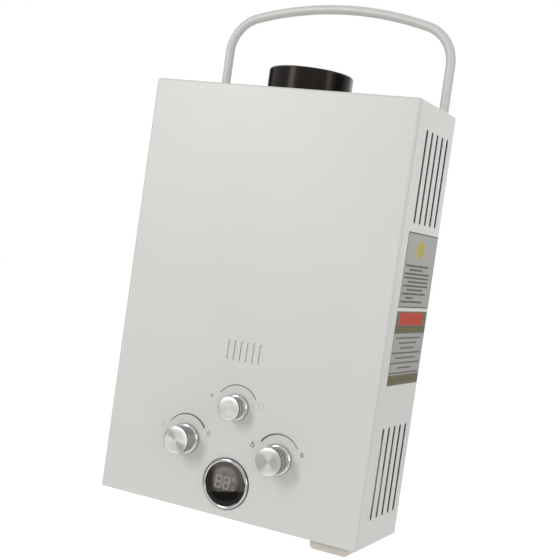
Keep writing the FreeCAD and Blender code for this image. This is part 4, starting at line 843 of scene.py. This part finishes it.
@dataclass(frozen=True)
class Workshop:
    """Finishes for the CAD nodes, by the record's material slots and by node where one differs."""

    slots: dict[str, Finish] = field(default_factory=lambda: {
        "white_enamel": PowderCoat("panel_white", WHITE),
        "black_enamel": StoveEnamel("flue_enamel"),
        "zinc_steel": ZINC,
        "stainless": rolled_stainless("rolled_stainless", (0.50, 0.49, 0.47), (0.32, 0.25, 0.20)),
        "copper": COPPER,
        "brass": BRASS,
        "cast_alloy": CAST_ALLOY,
        "spun_aluminium": zinc_plate("plain_aluminium", (0.72, 0.72, 0.71), 0.3),
        "knob_grey": KnurledMetal("knurled_grey"),
        "chrome_trim": CHROME,
        "dark_lens": LENS,
        "mica": MICA,
        "dark_plastic": moulded_plastic("moulded_black", (0.025, 0.025, 0.028)),
        "cream_plastic": moulded_plastic("moulded_cream", (0.72, 0.67, 0.60)),
        "cell_jacket": CellJacket("dry_cell"),
        "white_ceramic": CERAMIC,
        "black_rubber": RUBBER,
    })
    nodes: dict[str, Finish] = field(default_factory=lambda: {
        "draught_hood": zinc_plate("galvanised_hood", (0.50, 0.51, 0.52), 0.42),
        "gas_solenoid": moulded_plastic("solenoid_jacket", (0.03, 0.035, 0.09), 0.35),
        "wiring_leads": moulded_plastic("lead_jacket", (0.06, 0.055, 0.05), 0.5),
        "valve_spring": SPRING_STEEL,
        "carry_handle": PowderCoat("handle_enamel", (0.62, 0.62, 0.60), 0.30, 0.008),
        # The case's coat paints shade on its inner surfaces.
        "front_cover": CaseCoat("case_enamel", WHITE),
    })

    def dress_nodes(self) -> None:
        """Put a finish on every CAD node of the record."""
        for entry in frame["record"]["subparts"]:
            name = entry["node"]
            finish = self.nodes.get(name) or self.slots[entry["material_slot"]]
            thing = frame["nodes"][name]
            if not thing.material_slots:
                thing.data.materials.append(finish.material())
            for place in thing.material_slots:
                place.material = finish.material()
            log.info("%s gets %s", name, finish.name)


@dataclass
class OnPanel:
    """Something on the front panel, with the place of its middle."""

    name: str
    across: float
    height: float

    def place(self) -> Place:
        """Give its middle in the row frame."""
        return spot(self.across, 0, self.height)

    def piece(self, part: str) -> Piece:
        """Start one of its meshes."""
        return Piece(f"{self.name}_{part}", Facing.FRONT, self.place())


@dataclass
class Knob(OnPanel):
    """One control: fine-knurled skirt and spun face."""

    radius: float
    length: float
    # These two place and spread the painted highlight wedges on the face.
    highlight_turn: float
    highlight_reach: Pair
    foot: float = 5.6
    face_height: float = 3.0
    step: float = 0.35
    foot_ring: float = 0.7
    bore: float = 3.05
    knurl_depth: float = 0.42
    knurl_pitch: float = 2.1
    knurl_count: int = 38
    knurl_margin: float = 0.8

    def build_skirt(self) -> None:
        """Spin the skirt with many rings, then push every other corner in for the diamond knurl."""
        piece = self.piece("skirt")
        outer, head = self.radius - self.step, self.length - self.face_height
        start, end = self.foot + self.knurl_margin, head - self.knurl_margin
        rows = round((end - start) / self.knurl_pitch * 2)
        pitch = (end - start) / rows
        wall = [(outer, start + pitch * number) for number in range(rows + 1)]
        piece.turned([(self.bore, self.foot), (outer - 0.5, self.foot), (outer, self.foot + 0.5), *wall,
                      (outer, head - 0.5), (outer - 0.4, head), (self.bore, head)], self.knurl_count * 2)
        for corner in piece.mesh.verts:
            on_wall = start - 0.01 < corner.co.z < end + 0.01
            if not on_wall or math.hypot(corner.co.x, corner.co.y) < outer - 0.1:
                continue
            row = round((corner.co.z - start) / pitch)
            column = round(math.atan2(corner.co.y, corner.co.x) / math.pi * self.knurl_count)
            if (row + column) % 2:
                corner.co.xy *= 1 - self.knurl_depth / outer
        finish = KnurledMetal(f"knurled_{self.name}", self.place(), outer, self.knurl_depth)
        piece.dress(finish, "knob_grey", [f"{self.name}_knob"], f"{self.name}_control")

    def build_face(self) -> None:
        """Spin the face: flat floor, bright rounded rim and a shallow crown inside it."""
        piece = self.piece("face")
        low, top, rim = self.length - self.face_height, self.length, self.radius
        step = low + self.foot_ring
        piece.turned([(0, low), (rim - 0.45, low), (rim - 0.25, low + 0.2), (rim - 0.25, step),
                      (rim - 0.1, step), (rim, step + 0.12), (rim, top - 0.35), (rim - 0.12, top - 0.12),
                      (rim - 0.4, top), (rim * 0.6, top), (rim * 0.2, top), (0, top)], 128)
        piece.round_uv()
        finish = SpunAluminium(f"spun_{self.name}", self.place(), math.radians(self.highlight_turn),
                               self.highlight_reach, rim - 0.45, (step, top - 0.25))
        piece.dress(finish, "spun_aluminium", [f"{self.name}_knob_face"], f"{self.name}_control")


@dataclass
class PrintedArc(OnPanel):
    """Arc printed round a knob, thin at one end and thick at the other."""

    radius: float
    left_width: float
    right_width: float
    half_turn: float = 57.0
    ink: float = 0.04
    steps: int = 48

    def build(self, finish: Finish) -> None:
        """Spin a short radial line through the arc, then narrow it towards its thin end.

        Args:
            finish: The ink.
        """
        piece = self.piece("arc")
        start = math.radians(90 - self.half_turn)
        ends = [piece.mesh.verts.new((reach * math.cos(start), reach * math.sin(start), 0))
                for reach in (self.radius, self.radius + 1)]
        piece.spin([*ends, piece.mesh.edges.new(ends)], math.radians(2 * self.half_turn), self.steps)
        for corner in piece.mesh.verts:
            distance = math.hypot(corner.co.x, corner.co.y)
            angle = math.degrees(math.atan2(corner.co.y, corner.co.x)) - 90 + self.half_turn
            share = angle / (2 * self.half_turn)
            width = self.right_width + (self.left_width - self.right_width) * share
            wanted = self.radius + (width / 2 if distance > self.radius + 0.5 else -width / 2)
            corner.co.xy *= wanted / distance
        piece.lift(piece.mesh.faces[:], self.ink)
        piece.dress(finish, "dark_plastic")


class Sign(Enum):
    """Plain signs printed beside the arcs."""

    FLAME = "flame"
    DROP = "drop"
    DOT = "dot"
    RING = "ring"


@dataclass
class PrintedSign(OnPanel):
    """One small outline sign at an end of an arc."""

    sign: Sign
    size: float
    line: float
    ink: float = 0.04

    def outline(self) -> list:
        """Give the sign's corners, anticlockwise, about its middle."""
        if self.sign in (Sign.DOT, Sign.RING):
            return arc_points((0, 0), self.size / 2, 0, 345, 23)
        belly = self.size * 0.34
        corners = arc_points((0, -self.size * 0.16), belly, -215, 35, 20)
        lean = self.size * 0.10 if self.sign is Sign.FLAME else 0.0
        tip = [(belly * 0.42 + lean * 0.3, self.size * 0.20), (lean, self.size * 0.5),
               (-belly * 0.42 + lean, self.size * 0.20)]
        return corners + tip

    def build(self, finish: Finish) -> None:
        """Print the sign as a thin raised line, or filled where it is a dot.

        Args:
            finish: The ink.
        """
        piece = self.piece("sign")
        if self.sign is Sign.DOT:
            piece.plate(self.outline(), self.ink)
        else:
            piece.hoop(self.outline(), self.line, self.ink)
        piece.dress(finish, "dark_plastic", smooth=False)


@dataclass
class ControlPanel:
    """The three knobs with their rings, arcs and signs; the print sits a little off the knobs' centres."""

    spread: float = 52.0
    side_height: float = 68.6
    season_height: float = 110.35
    side_radius: float = 13.9
    season_radius: float = 11.8
    arc_radius: float = 23.6
    side_arc_height: float = 70.0
    season_arc_height: float = 109.0
    bead_flare: float = 1.9
    bead_height: float = 5.0
    bead_round: float = 2.8
    bead_bore: float = 5.0

    def knobs(self) -> list[Knob]:
        """List the three knobs."""
        # The last two numbers of each knob turn and spread its face's painted highlight wedges.
        return [Knob("gas", -self.spread, self.side_height, self.side_radius, 20.3, 50, (-1.0, -0.3)),
                Knob("water", self.spread, self.side_height, self.side_radius, 20.3, 98, (-0.4, 1.0)),
                Knob("season", 0.0, self.season_height, self.season_radius, 16.75, 98, (-2.2, 0.2))]

    def build_rings(self) -> None:
        """Spin the chrome bead at the foot of each knob."""
        piece = Piece("knob_beads", Facing.FRONT, spot(0, 0, 0))
        for knob in self.knobs():
            rim = knob.radius + self.bead_flare
            shoulder = self.bead_height - self.bead_round
            crown = arc_points((rim - self.bead_round, shoulder), self.bead_round, 0, 90, 10)
            piece.turned([(self.bead_bore, 0.0), (rim - 0.5, 0.0), (rim - 0.1, 0.35), (rim, 0.9), *crown,
                          (self.bead_bore, self.bead_height)], centre=(knob.across, knob.height))
        piece.dress(CHROME, "chrome_trim", ["knob_bezels"])

    def build_prints(self) -> None:
        """Print the arcs and the signs at their ends."""
        dark = screen_ink("arc_ink", (0.125, 0.12, 0.115))
        faint = screen_ink("faint_ink", (0.40, 0.40, 0.385))
        flame = screen_ink("flame_ink", (0.24, 0.235, 0.23))
        drop = screen_ink("drop_ink", (0.13, 0.13, 0.13))
        for sizes in (("gas", -self.spread, self.side_arc_height, self.arc_radius, 0.7, 1.9),
                      ("water", self.spread, self.side_arc_height, self.arc_radius, 1.9, 0.7),
                      ("season", 0.0, self.season_arc_height, self.arc_radius, 0.9, 0.9)):
            PrintedArc(*sizes).build(dark)
        for finish, *sizes in (
                (faint, "gas_low", -80.4, 78.7, Sign.FLAME, 4.4, 0.5),
                (flame, "gas_high", -27.0, 78.8, Sign.FLAME, 6.2, 0.6),
                (drop, "water_high", 23.2, 78.2, Sign.DROP, 6.6, 0.9),
                (drop, "water_low", 77.1, 78.7, Sign.DROP, 5.0, 0.8),
                (faint, "season_low", -29.2, 117.0, Sign.DOT, 3.4, 0.5),
                (faint, "season_high", 26.7, 117.0, Sign.RING, 5.6, 0.5)):
            PrintedSign(*sizes).build(finish)

    def build(self) -> None:
        """Build everything on the control panel."""
        for knob in self.knobs():
            knob.build_skirt()
            knob.build_face()
        self.build_rings()
        self.build_prints()


@dataclass
class RoundDisplay:
    """Chrome ring, smoked lens and the seven-segment figures behind it.

    The three profiles are pairs of radius and height over the front panel.
    """

    height: float = DISPLAY_HEIGHT
    steps: int = 128
    ring: Profile = ((19.5, -8.0), (21.7, -8.0), (21.7, 0.0), (24.9, 0.0), (24.9, 0.72), (25.15, 0.8),
                     (25.2, 1.1), (25.05, 1.6), (24.75, 2.05), (24.35, 2.4), (23.9, 2.56), (23.45, 2.6),
                     (22.9, 2.52), (22.4, 2.3), (22.1, 2.0), (22.0, 1.6), (22.0, 0.6), (19.5, 0.6))
    # A black rubber seal, widened so that it paints the contact shadow and dark reflection at the chrome
    # ring's outer edge.
    seal_and_shade: Profile = ((24.95, 0.0), (25.85, 0.0), (25.85, 0.5), (25.65, 0.72), (24.95, 0.76))
    glass: Profile = ((0, 0.6), (21.85, 0.6), (21.85, 1.45), (21.7, 1.65), (21.35, 1.78), (16.0, 1.9),
                      (8.0, 1.97), (0, 2.0))
    figure_depth: float = -1.985
    figure_rise: float = 1.2
    figure_centres: Pair = (-7.4, 1.6)
    digit_width: float = 7.4
    digit_height: float = 13.0
    digit_lean: float = 0.06
    stroke: float = 1.5
    line: float = 0.34
    print_height: float = 0.03

    def build_rounds(self) -> None:
        """Spin the ring with its rounded crown, the widened black seal round it that paints the shade at its
        outer edge, and the crowned lens.
        """
        for name, profile, finish, slot, stands_for in (
                ("display_ring", self.ring, CHROME, "chrome_trim", ["display_bezel"]),
                ("display_seal_and_shade", self.seal_and_shade, RUBBER, "black_rubber", []),
                ("display_glass", self.glass, LENS, "dark_lens", ["display_lens"])):
            piece = Piece(name, Facing.FRONT, spot(0, 0, self.height))
            piece.turned(profile, self.steps)
            piece.dress(finish, slot, stands_for)

    def segment(self, piece: Piece, middle: Pair, length: float, upright: bool) -> None:
        """Add one hollow segment of a figure.

        Args:
            piece: The piece that gathers the figures.
            middle: The segment's middle.
            length: Its length.
            upright: Whether it stands or lies.
        """
        half, side = length / 2 - self.stroke * 0.12, self.stroke / 2
        corners = [(-half, 0), (-half + side, -side), (half - side, -side), (half, 0), (half - side, side),
                   (-half + side, side)]
        if upright:
            corners = [(-y, x) for x, y in corners]
        places = [(middle[0] + x + self.digit_lean * (middle[1] + y), middle[1] + y) for x, y in corners]
        piece.hoop(places, self.line, self.print_height)

    def build_figures(self) -> None:
        """Add the two unlit figures and the small ring and mark beside them."""
        piece = Piece("display_figures", Facing.FRONT, spot(0, self.figure_depth, self.height))
        wide, tall = self.digit_width - self.stroke, self.digit_height / 2 - self.stroke / 2
        for left in self.figure_centres:
            for level in (-1, 0, 1):
                self.segment(piece, (left, self.figure_rise + level * tall), wide, False)
            for side in (-1, 1):
                for level in (-0.5, 0.5):
                    self.segment(piece, (left + side * wide / 2, self.figure_rise + level * tall), tall, True)
        high, low = self.figure_rise + 4.8, self.figure_rise - 5.8
        piece.hoop(arc_points((9.2, high), 1.5, 0, 345, 23), self.line, self.print_height)
        piece.hoop(rounded_corners((8.2, low), (11.0, low + 3.6), 0.8), self.line, self.print_height)
        grey = moulded_plastic("figure_grey", (0.48, 0.45, 0.435), 0.5, 0.004)
        piece.dress(grey, "dark_lens", smooth=False)

    def build(self) -> None:
        """Build the display."""
        self.build_rounds()
        self.build_figures()


@dataclass
class SidePlates:
    """Two foil plates on the right side, with bands and ruled lines in place of wording."""

    side: float = 145.0
    foil: float = 0.03
    front: float = 19.6
    rear: float = 109.8
    corner: float = 0.8
    silver: Surface = brushed_foil("plate_silver", (0.325, 0.32, 0.295))
    olive: Surface = screen_ink("band_olive", (0.135, 0.115, 0.045))
    upper_starts: tuple[float, ...] = (24, 36, 24, 24, 36, 24, 36, 24, 36, 24)
    upper_ends: tuple[float, ...] = (92, 76, 98, 96, 96, 98, 84, 94, 58, 88)
    lower_halves: tuple[float, ...] = (36, 26, 20, 42, 30, 42, 20, 42)
    lower_middle: float = 62.5

    def lay(self, name: str, outlines: Sequence[Profile], level: int, finish: Finish, slot: str) -> None:
        """Lay foil or print on the side.

        Args:
            name: The object's name.
            outlines: The corners of each outline as depths and heights.
            level: 0 for the foil, 1 for its printed fields, 3 for marks over them.
            finish: Its finish.
            slot: Its material slot.
        """
        piece = Piece(name, Facing.RIGHT, spot(self.side, 0, 0))
        thick, floor = (PRINT, self.foil + (level - 1) * PRINT) if level else (self.foil, 0.0)
        for corners in outlines:
            piece.plate(corners, thick, floor)
        piece.dress(finish, slot, smooth=False)

    def plate(self, name: str, low: Pair, high: Pair, finish: Finish, level: int = 1) -> None:
        """Lay one foil or printed field from its front lower to its rear upper corner."""
        self.lay(name, [rounded_corners(low, high, self.corner)], level, finish, "white_enamel")

    def marks(self, name: str, outlines: Sequence[Profile], finish: Finish) -> None:
        """Print marks over the fields."""
        self.lay(name, outlines, 3, finish, "dark_plastic")

    @staticmethod
    def ruled(ends: Sequence[Pair], top: float, pitch: float, width: float) -> list[Profile]:
        """Give the corners of ruled lines, one below another.

        Args:
            ends: First and last depth of each line.
            top: Height of the first line.
            pitch: How far each line is below the one before.
            width: Width of the lines.

        Returns:
            The corners of each line.
        """
        heights = [top - pitch * number for number in range(len(ends))]
        return [[(start, height - width / 2), (end, height - width / 2), (end, height + width / 2),
                 (start, height + width / 2)] for (start, end), height in zip(ends, heights)]

    def build_upper(self) -> None:
        """Build the silver plate with its black border, plain disc and ruled lines."""
        low, high = (self.front + 0.2, 233.0), (self.rear, 306.3)
        self.plate("upper_plate", low, high, brushed_foil("plate_black", (0.035, 0.034, 0.033), 0.1), 0)
        self.plate("upper_plate_field", (low[0] + 1.3, low[1] + 1.3), (high[0] - 1.3, high[1] - 1.3),
                   self.silver)
        self.marks("upper_plate_disc", [arc_points((62.0, 290.0), 9.0, 0, 350, 35)],
                   screen_ink("disc_yellow", (0.52, 0.42, 0.05)))
        self.marks("upper_plate_lines",
                   self.ruled(list(zip(self.upper_starts, self.upper_ends)), 274.0, 3.9, 1.9),
                   screen_ink("line_ink", (0.12, 0.105, 0.10)))

    def build_lower(self) -> None:
        """Build the plate with a red and an olive band over a silver field and an olive band below."""
        low, high = (self.front - 0.3, 157.0), (self.rear, 229.6)
        self.plate("lower_plate", low, high, brushed_foil("plate_dark", (0.085, 0.075, 0.045), 0.15), 0)
        for name, inset, floor, top, finish in (
                ("red", 10.0, high[1] - 13.4, high[1] - 1.2, screen_ink("band_red", (0.50, 0.050, 0.024))),
                ("olive", 1.6, high[1] - 20.8, high[1] - 14.4, self.olive),
                ("field", 1.0, low[1] + 10.2, high[1] - 21.8, self.silver),
                ("foot", 3.0, low[1] + 2.0, low[1] + 8.6, self.olive)):
            self.plate(f"lower_plate_{name}", (low[0] + inset, floor), (high[0] - inset, top), finish)
        ends = [(self.lower_middle - half, self.lower_middle + half) for half in self.lower_halves]
        self.marks("lower_plate_lines", self.ruled(ends, 203.4, 4.9, 1.7),
                   screen_ink("soft_line_ink", (0.15, 0.14, 0.135)))

    def build(self) -> None:
        """Build both plates."""
        self.build_upper()
        self.build_lower()


@dataclass
class ThreadedStub:
    """Brass connector under the case, with its thread cut in rings."""

    node: str
    across: float
    depth: float
    head: float
    drop: float = 16.0
    crest: float = 10.48
    root: float = 9.45
    pitch: float = 1.814
    bore: float = 7.0
    lip: float = 0.6
    thread_end: float = 3.2
    shoulder: Profile = ((9.45, 1.9), (9.45, 1.5), (11.1, 1.5), (11.5, 1.1), (11.5, -1.8), (13.6, -1.8),
                         (14.0, -2.2), (14.0, -5.4), (13.6, -5.8), (9.0, -5.8))

    def build(self) -> None:
        """Spin the stub from its lower lip up to its valve or pipe."""
        piece = Piece(f"{self.node}_stub", Facing.DOWN, spot(self.across, self.depth, 0))
        profile = [(self.bore, self.drop - self.lip), (self.bore + self.lip, self.drop),
                   (self.root, self.drop)]
        height = self.drop - 0.5
        while height > self.thread_end:
            profile += [(self.crest, height - 0.22), (self.crest, height - 0.5),
                        (self.root, height - self.pitch * 0.62), (self.root, height - self.pitch * 0.78)]
            height -= self.pitch
        profile += [*self.shoulder, (9.0, -self.head), (self.bore, -self.head)]
        piece.turned(profile)
        piece.dress(BRASS, "brass", [self.node])


@dataclass
class CrossScrew:
    """Pan-head screw with a cross recess."""

    radius: float = 3.5
    height: float = 2.0
    shank: float = 1.9
    length: float = 7.0
    point: float = 1.0
    recess: float = 1.1
    cells: int = 7
    arm: float = 2.4
    crown: float = 0.35
    rounded: float = 0.8

    def add(self, piece: Piece, carry: Matrix) -> None:
        """Model one screw from a small grid and add it to a piece.

        Args:
            piece: The piece that gathers the screws.
            carry: Carries the screw from its own frame to the piece's frame.
        """
        before = set(piece.mesh.verts)
        bmesh.ops.create_grid(piece.mesh, x_segments=self.cells, y_segments=self.cells, size=self.radius)
        new = [corner for corner in piece.mesh.verts if corner not in before]
        for corner in new:
            reach = max(abs(corner.co.x), abs(corner.co.y))
            distance = math.hypot(corner.co.x, corner.co.y)
            if reach > self.radius * self.rounded:
                corner.co *= reach / distance
            share = math.hypot(corner.co.x, corner.co.y) / self.radius
            corner.co.z = self.height * (1 - self.crown * share ** 2)
        cell = 2 * self.radius / self.cells
        faces = {face for corner in new for face in corner.link_faces}

        def in_cross(face: bmesh.types.BMFace) -> bool:
            """Tell whether a face lies in the cross."""
            aside, along = sorted(abs(part) for part in face.calc_center_median().xy)
            return aside < cell / 2 and along < cell * self.arm

        cross = [face for face in faces if in_cross(face)]
        sunk = bmesh.ops.extrude_face_region(piece.mesh, geom=cross)["geom"]
        bmesh.ops.delete(piece.mesh, geom=cross, context="FACES_ONLY")
        bmesh.ops.translate(piece.mesh, verts=corners_of(sunk), vec=(0, 0, -self.recess))
        rim = [edge for corner in new for edge in corner.link_edges if edge.is_boundary]
        skirt = self.step_down(piece, list(set(rim)), 1.0, 0.0)
        neck = self.step_down(piece, skirt, self.shank / self.radius, 0.0)
        tip = self.step_down(piece, neck, 1.0, self.point - self.length)
        point = self.step_down(piece, tip, 0.5, -self.length)
        bmesh.ops.contextual_create(piece.mesh, geom=point)
        added = [corner for corner in piece.mesh.verts if corner not in before]
        bmesh.ops.transform(piece.mesh, matrix=carry, verts=added)

    def step_down(self, piece: Piece, edges: list, shrink: float, level: float) -> list:
        """Extrude a rim to a level, drawn in by a factor.

        Args:
            piece: The piece.
            edges: The rim's edges.
            shrink: The factor.
            level: The level.

        Returns:
            The new rim's edges.
        """
        made = bmesh.ops.extrude_edge_only(piece.mesh, edges=edges)["geom"]
        for corner in corners_of(made):
            corner.co = (corner.co.x * shrink, corner.co.y * shrink, level)
        return [item for item in made if isinstance(item, bmesh.types.BMEdge) and item.is_boundary]


@dataclass
class Fixings:
    """Screws that close the case, with their cross recesses, each turned a little differently."""

    rear_side: float = 139.5
    rear_face: float = 111.0
    rear_heights: tuple[float, ...] = (30.0, 207.5, 385.0)
    rear_twist: float = 0.37
    base_sides: tuple[float, ...] = (40.0, 110.0)
    base_depth: float = 8.0
    base_twist: float = 0.61

    def build(self) -> None:
        """Set every screw in one piece that stands for the plain ones."""
        piece = Piece("case_screws", Facing.UP, spot(0, 0, 0))
        screw = CrossScrew()
        for side in (-1, 1):
            places = [(Facing.REAR, (side * self.rear_side, self.rear_face, height), height * self.rear_twist)
                      for height in self.rear_heights]
            places += [(Facing.DOWN, (side * across, self.base_depth, 0), across * self.base_twist)
                       for across in self.base_sides]
            for facing, place, twist in places:
                turned = facing.turn() @ Matrix.Rotation(twist + side, 4, "Z")
                screw.add(piece, Matrix.Translation(place) @ turned)
        piece.dress(ZINC, "zinc_steel", ["cover_screws"])


@dataclass
class ReturnSpring:
    """Coil spring between the gas valve and the push rod's collar; it shortens as the rod moves."""

    start: float = -23.1
    depth: float = 62.0
    height: float = 68.6
    room: float = 16.2
    radius: float = 4.6
    wire: float = 0.6
    end_pitch: float = 1.26
    open_turns: int = 4
    steps: int = 28
    stroke: float = 4.0

    def build(self) -> None:
        """Wind the coil with a closed turn at each end."""
        piece = Piece("return_spring", Facing.RIGHT, spot(self.start, self.depth, self.height))
        section = [piece.mesh.verts.new((x, 0, z))
                   for x, z in arc_points((self.radius, 0), self.wire, 0, 330, 11)]
        last = [*section, *(piece.mesh.edges.new(pair) for pair in zip(section, section[1:] + section[:1]))]
        open_pitch = (self.room - 2 * self.end_pitch) / self.open_turns
        for turns, pitch in ((1, self.end_pitch), (self.open_turns, open_pitch), (1, self.end_pitch)):
            last = piece.spin(last, 2 * math.pi * turns, self.steps * turns, pitch / self.steps)
        rims = [edge for edge in piece.mesh.edges if edge.is_boundary]
        bmesh.ops.edgeloop_fill(piece.mesh, edges=rims)
        thing = piece.dress(SPRING_STEEL, "zinc_steel", ["valve_spring"])
        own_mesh(thing)


@dataclass
class Studio:
    """Camera, pale floor, soft lamps and white surroundings."""

    camera_place: Place = (0.4985, -1.1139, 0.0612)
    azimuth: float = 25.405
    elevation: float = -1.785
    roll: float = 8.179
    lens: float = 72.22
    sensor: float = 36.0
    sky: float = 0.54
    floor_height: float = -0.62
    floor_half: float = 9.0
    floor_lift: float = 0.5
    lamp_target: Place = (0.0, -0.06, 0.05)
    card_target: Place = (0.0, -0.12, -0.14)

    def build_camera(self) -> None:
        """Set the camera where the photograph was taken from."""
        data = bpy.data.cameras.new("camera")
        data.lens = self.lens
        data.sensor_width = self.sensor
        camera = placed("camera", data)
        turn, tilt, roll = (math.radians(angle) for angle in (self.azimuth, self.elevation, self.roll))
        camera.matrix_world = (
            Matrix.Translation(self.camera_place) @ Matrix.Rotation(turn, 4, "Z")
            @ Matrix.Rotation(math.pi / 2 + tilt, 4, "X") @ Matrix.Rotation(roll, 4, "Z"))
        bpy.context.scene.camera = camera

    def build_world(self) -> None:
        """Make the surroundings white to the eye and softer as light."""
        world = bpy.data.worlds.new("surroundings")
        bpy.context.scene.world = world
        world.use_nodes = True
        bench = NodeBench(world.node_tree)
        light = bench.add("Background", (1.0, 1.0, 1.0), bench.between(bench.seen(), self.sky, 1.0))
        bench.add("OutputWorld", light.outputs["Background"])

    def build_floor(self) -> None:
        """Lay a wide pale floor well below the hung heater."""
        mesh = bmesh.new()
        bmesh.ops.create_grid(mesh, x_segments=8, y_segments=8, size=self.floor_half)
        bmesh.ops.translate(mesh, verts=mesh.verts[:], vec=(0, 0, self.floor_height))
        bench = MaterialBench("floor_white")
        bench.set(Base_Color=bench.tint(bench.noise(3.0, 2.0), (0.93, 0.93, 0.93), (0.95, 0.95, 0.95)),
                  Roughness=0.9, Emission_Color=(1.0, 1.0, 1.0),
                  Emission_Strength=bench.times(bench.seen(), self.floor_lift))
        mesh_object("floor", mesh, bench.material)

    def lamp(self, name: str, place: Place, size: Pair, power: float) -> None:
        """Hang one soft lamp that looks at the heater.

        Args:
            name: The lamp's name.
            place: Where it hangs, in metres.
            size: Its width and height.
            power: Its power in watts.
        """
        data = bpy.data.lights.new(name, "AREA")
        data.shape = "RECTANGLE"
        data.size, data.size_y = size
        data.energy = power
        lamp = placed(name, data)
        lamp.location = place
        lamp.rotation_mode = "QUATERNION"
        lamp.rotation_quaternion = (Vector(self.lamp_target) - Vector(place)).to_track_quat("-Z", "Y")

    def flag(self, name: str, place: Place, size: Pair, grey: float) -> None:
        """Stand a dark card that only reflections see, so that bright metal has edges.

        Args:
            name: The card's name.
            place: Its middle, in metres.
            size: Its width and height.
            grey: How dark it is.
        """
        mesh = bmesh.new()
        bmesh.ops.create_grid(mesh, x_segments=1, y_segments=1, size=0.5)
        turn = (Vector(self.card_target) - Vector(place)).to_track_quat("-Z", "Y").to_matrix().to_4x4()
        bmesh.ops.transform(mesh, matrix=Matrix.Translation(place) @ turn @ Matrix.Diagonal((*size, 1, 1)),
                            verts=mesh.verts[:])
        bench = MaterialBench(name)
        bench.set(Base_Color=(grey, grey, grey), Roughness=0.9, Specular_IOR_Level=0.0)
        card = mesh_object(name, mesh, bench.material)
        for ray in ("camera", "diffuse", "shadow", "transmission"):
            setattr(card, f"visible_{ray}", False)

    def build(self) -> None:
        """Build the whole studio."""
        bpy.context.scene.view_settings.view_transform = "Standard"
        self.build_camera()
        self.build_world()
        self.build_floor()
        for name, place, size, power in (
                ("key", (-0.90, -1.75, 0.75), (0.42, 1.1), 13.4),
                ("edge", (0.98, -1.50, -0.12), (0.09, 1.05), 1.6),
                ("side", (1.75, -0.55, 0.4), (0.30, 1.0), 4.6),
                ("back", (0.4, 1.9, 0.5), (1.2, 1.0), 3.0)):
            self.lamp(name, place, size, power)
        for name, place, size, grey in (
                ("flag_left", (-1.2, -0.45, -0.3), (1.0, 1.2), 0.01),
                ("flag_right", (0.66, -1.1, -0.42), (0.35, 0.5), 0.01),
                ("flag_lens", (-0.57, -1.25, -0.45), (0.36, 0.36), 0.0),
                ("flag_back_left", (-1.5, 0.9, -0.1), (1.3, 1.6), 0.01),
                ("flag_back_right", (1.7, 0.45, 0.1), (0.9, 1.3), 0.01)):
            self.flag(name, place, size, grey)


def main() -> None:
    """Build the studio, dress the CAD nodes and add the fine pieces."""
    logging.basicConfig(level=logging.INFO, format="%(message)s")
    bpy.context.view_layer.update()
    builders: list[tuple[str, Callable[[], None]]] = [
        ("studio", Studio().build),
        ("finishes", Workshop().dress_nodes),
        ("control panel", ControlPanel().build),
        ("display", RoundDisplay().build),
        ("side plates", SidePlates().build),
        ("fixings", Fixings().build),
        ("return spring", ReturnSpring().build),
        ("gas connector", ThreadedStub("gas_inlet", -52.0, 70.0, 50.6).build),
        ("cold connector", ThreadedStub("cold_inlet", 60.0, 70.0, 50.6).build),
        ("hot connector", ThreadedStub("hot_outlet", -118.0, 87.0, 40.0).build),
    ]
    for name, build in builders:
        log.info("building the %s", name)
        build()


if __name__ == "__main__":
    main()
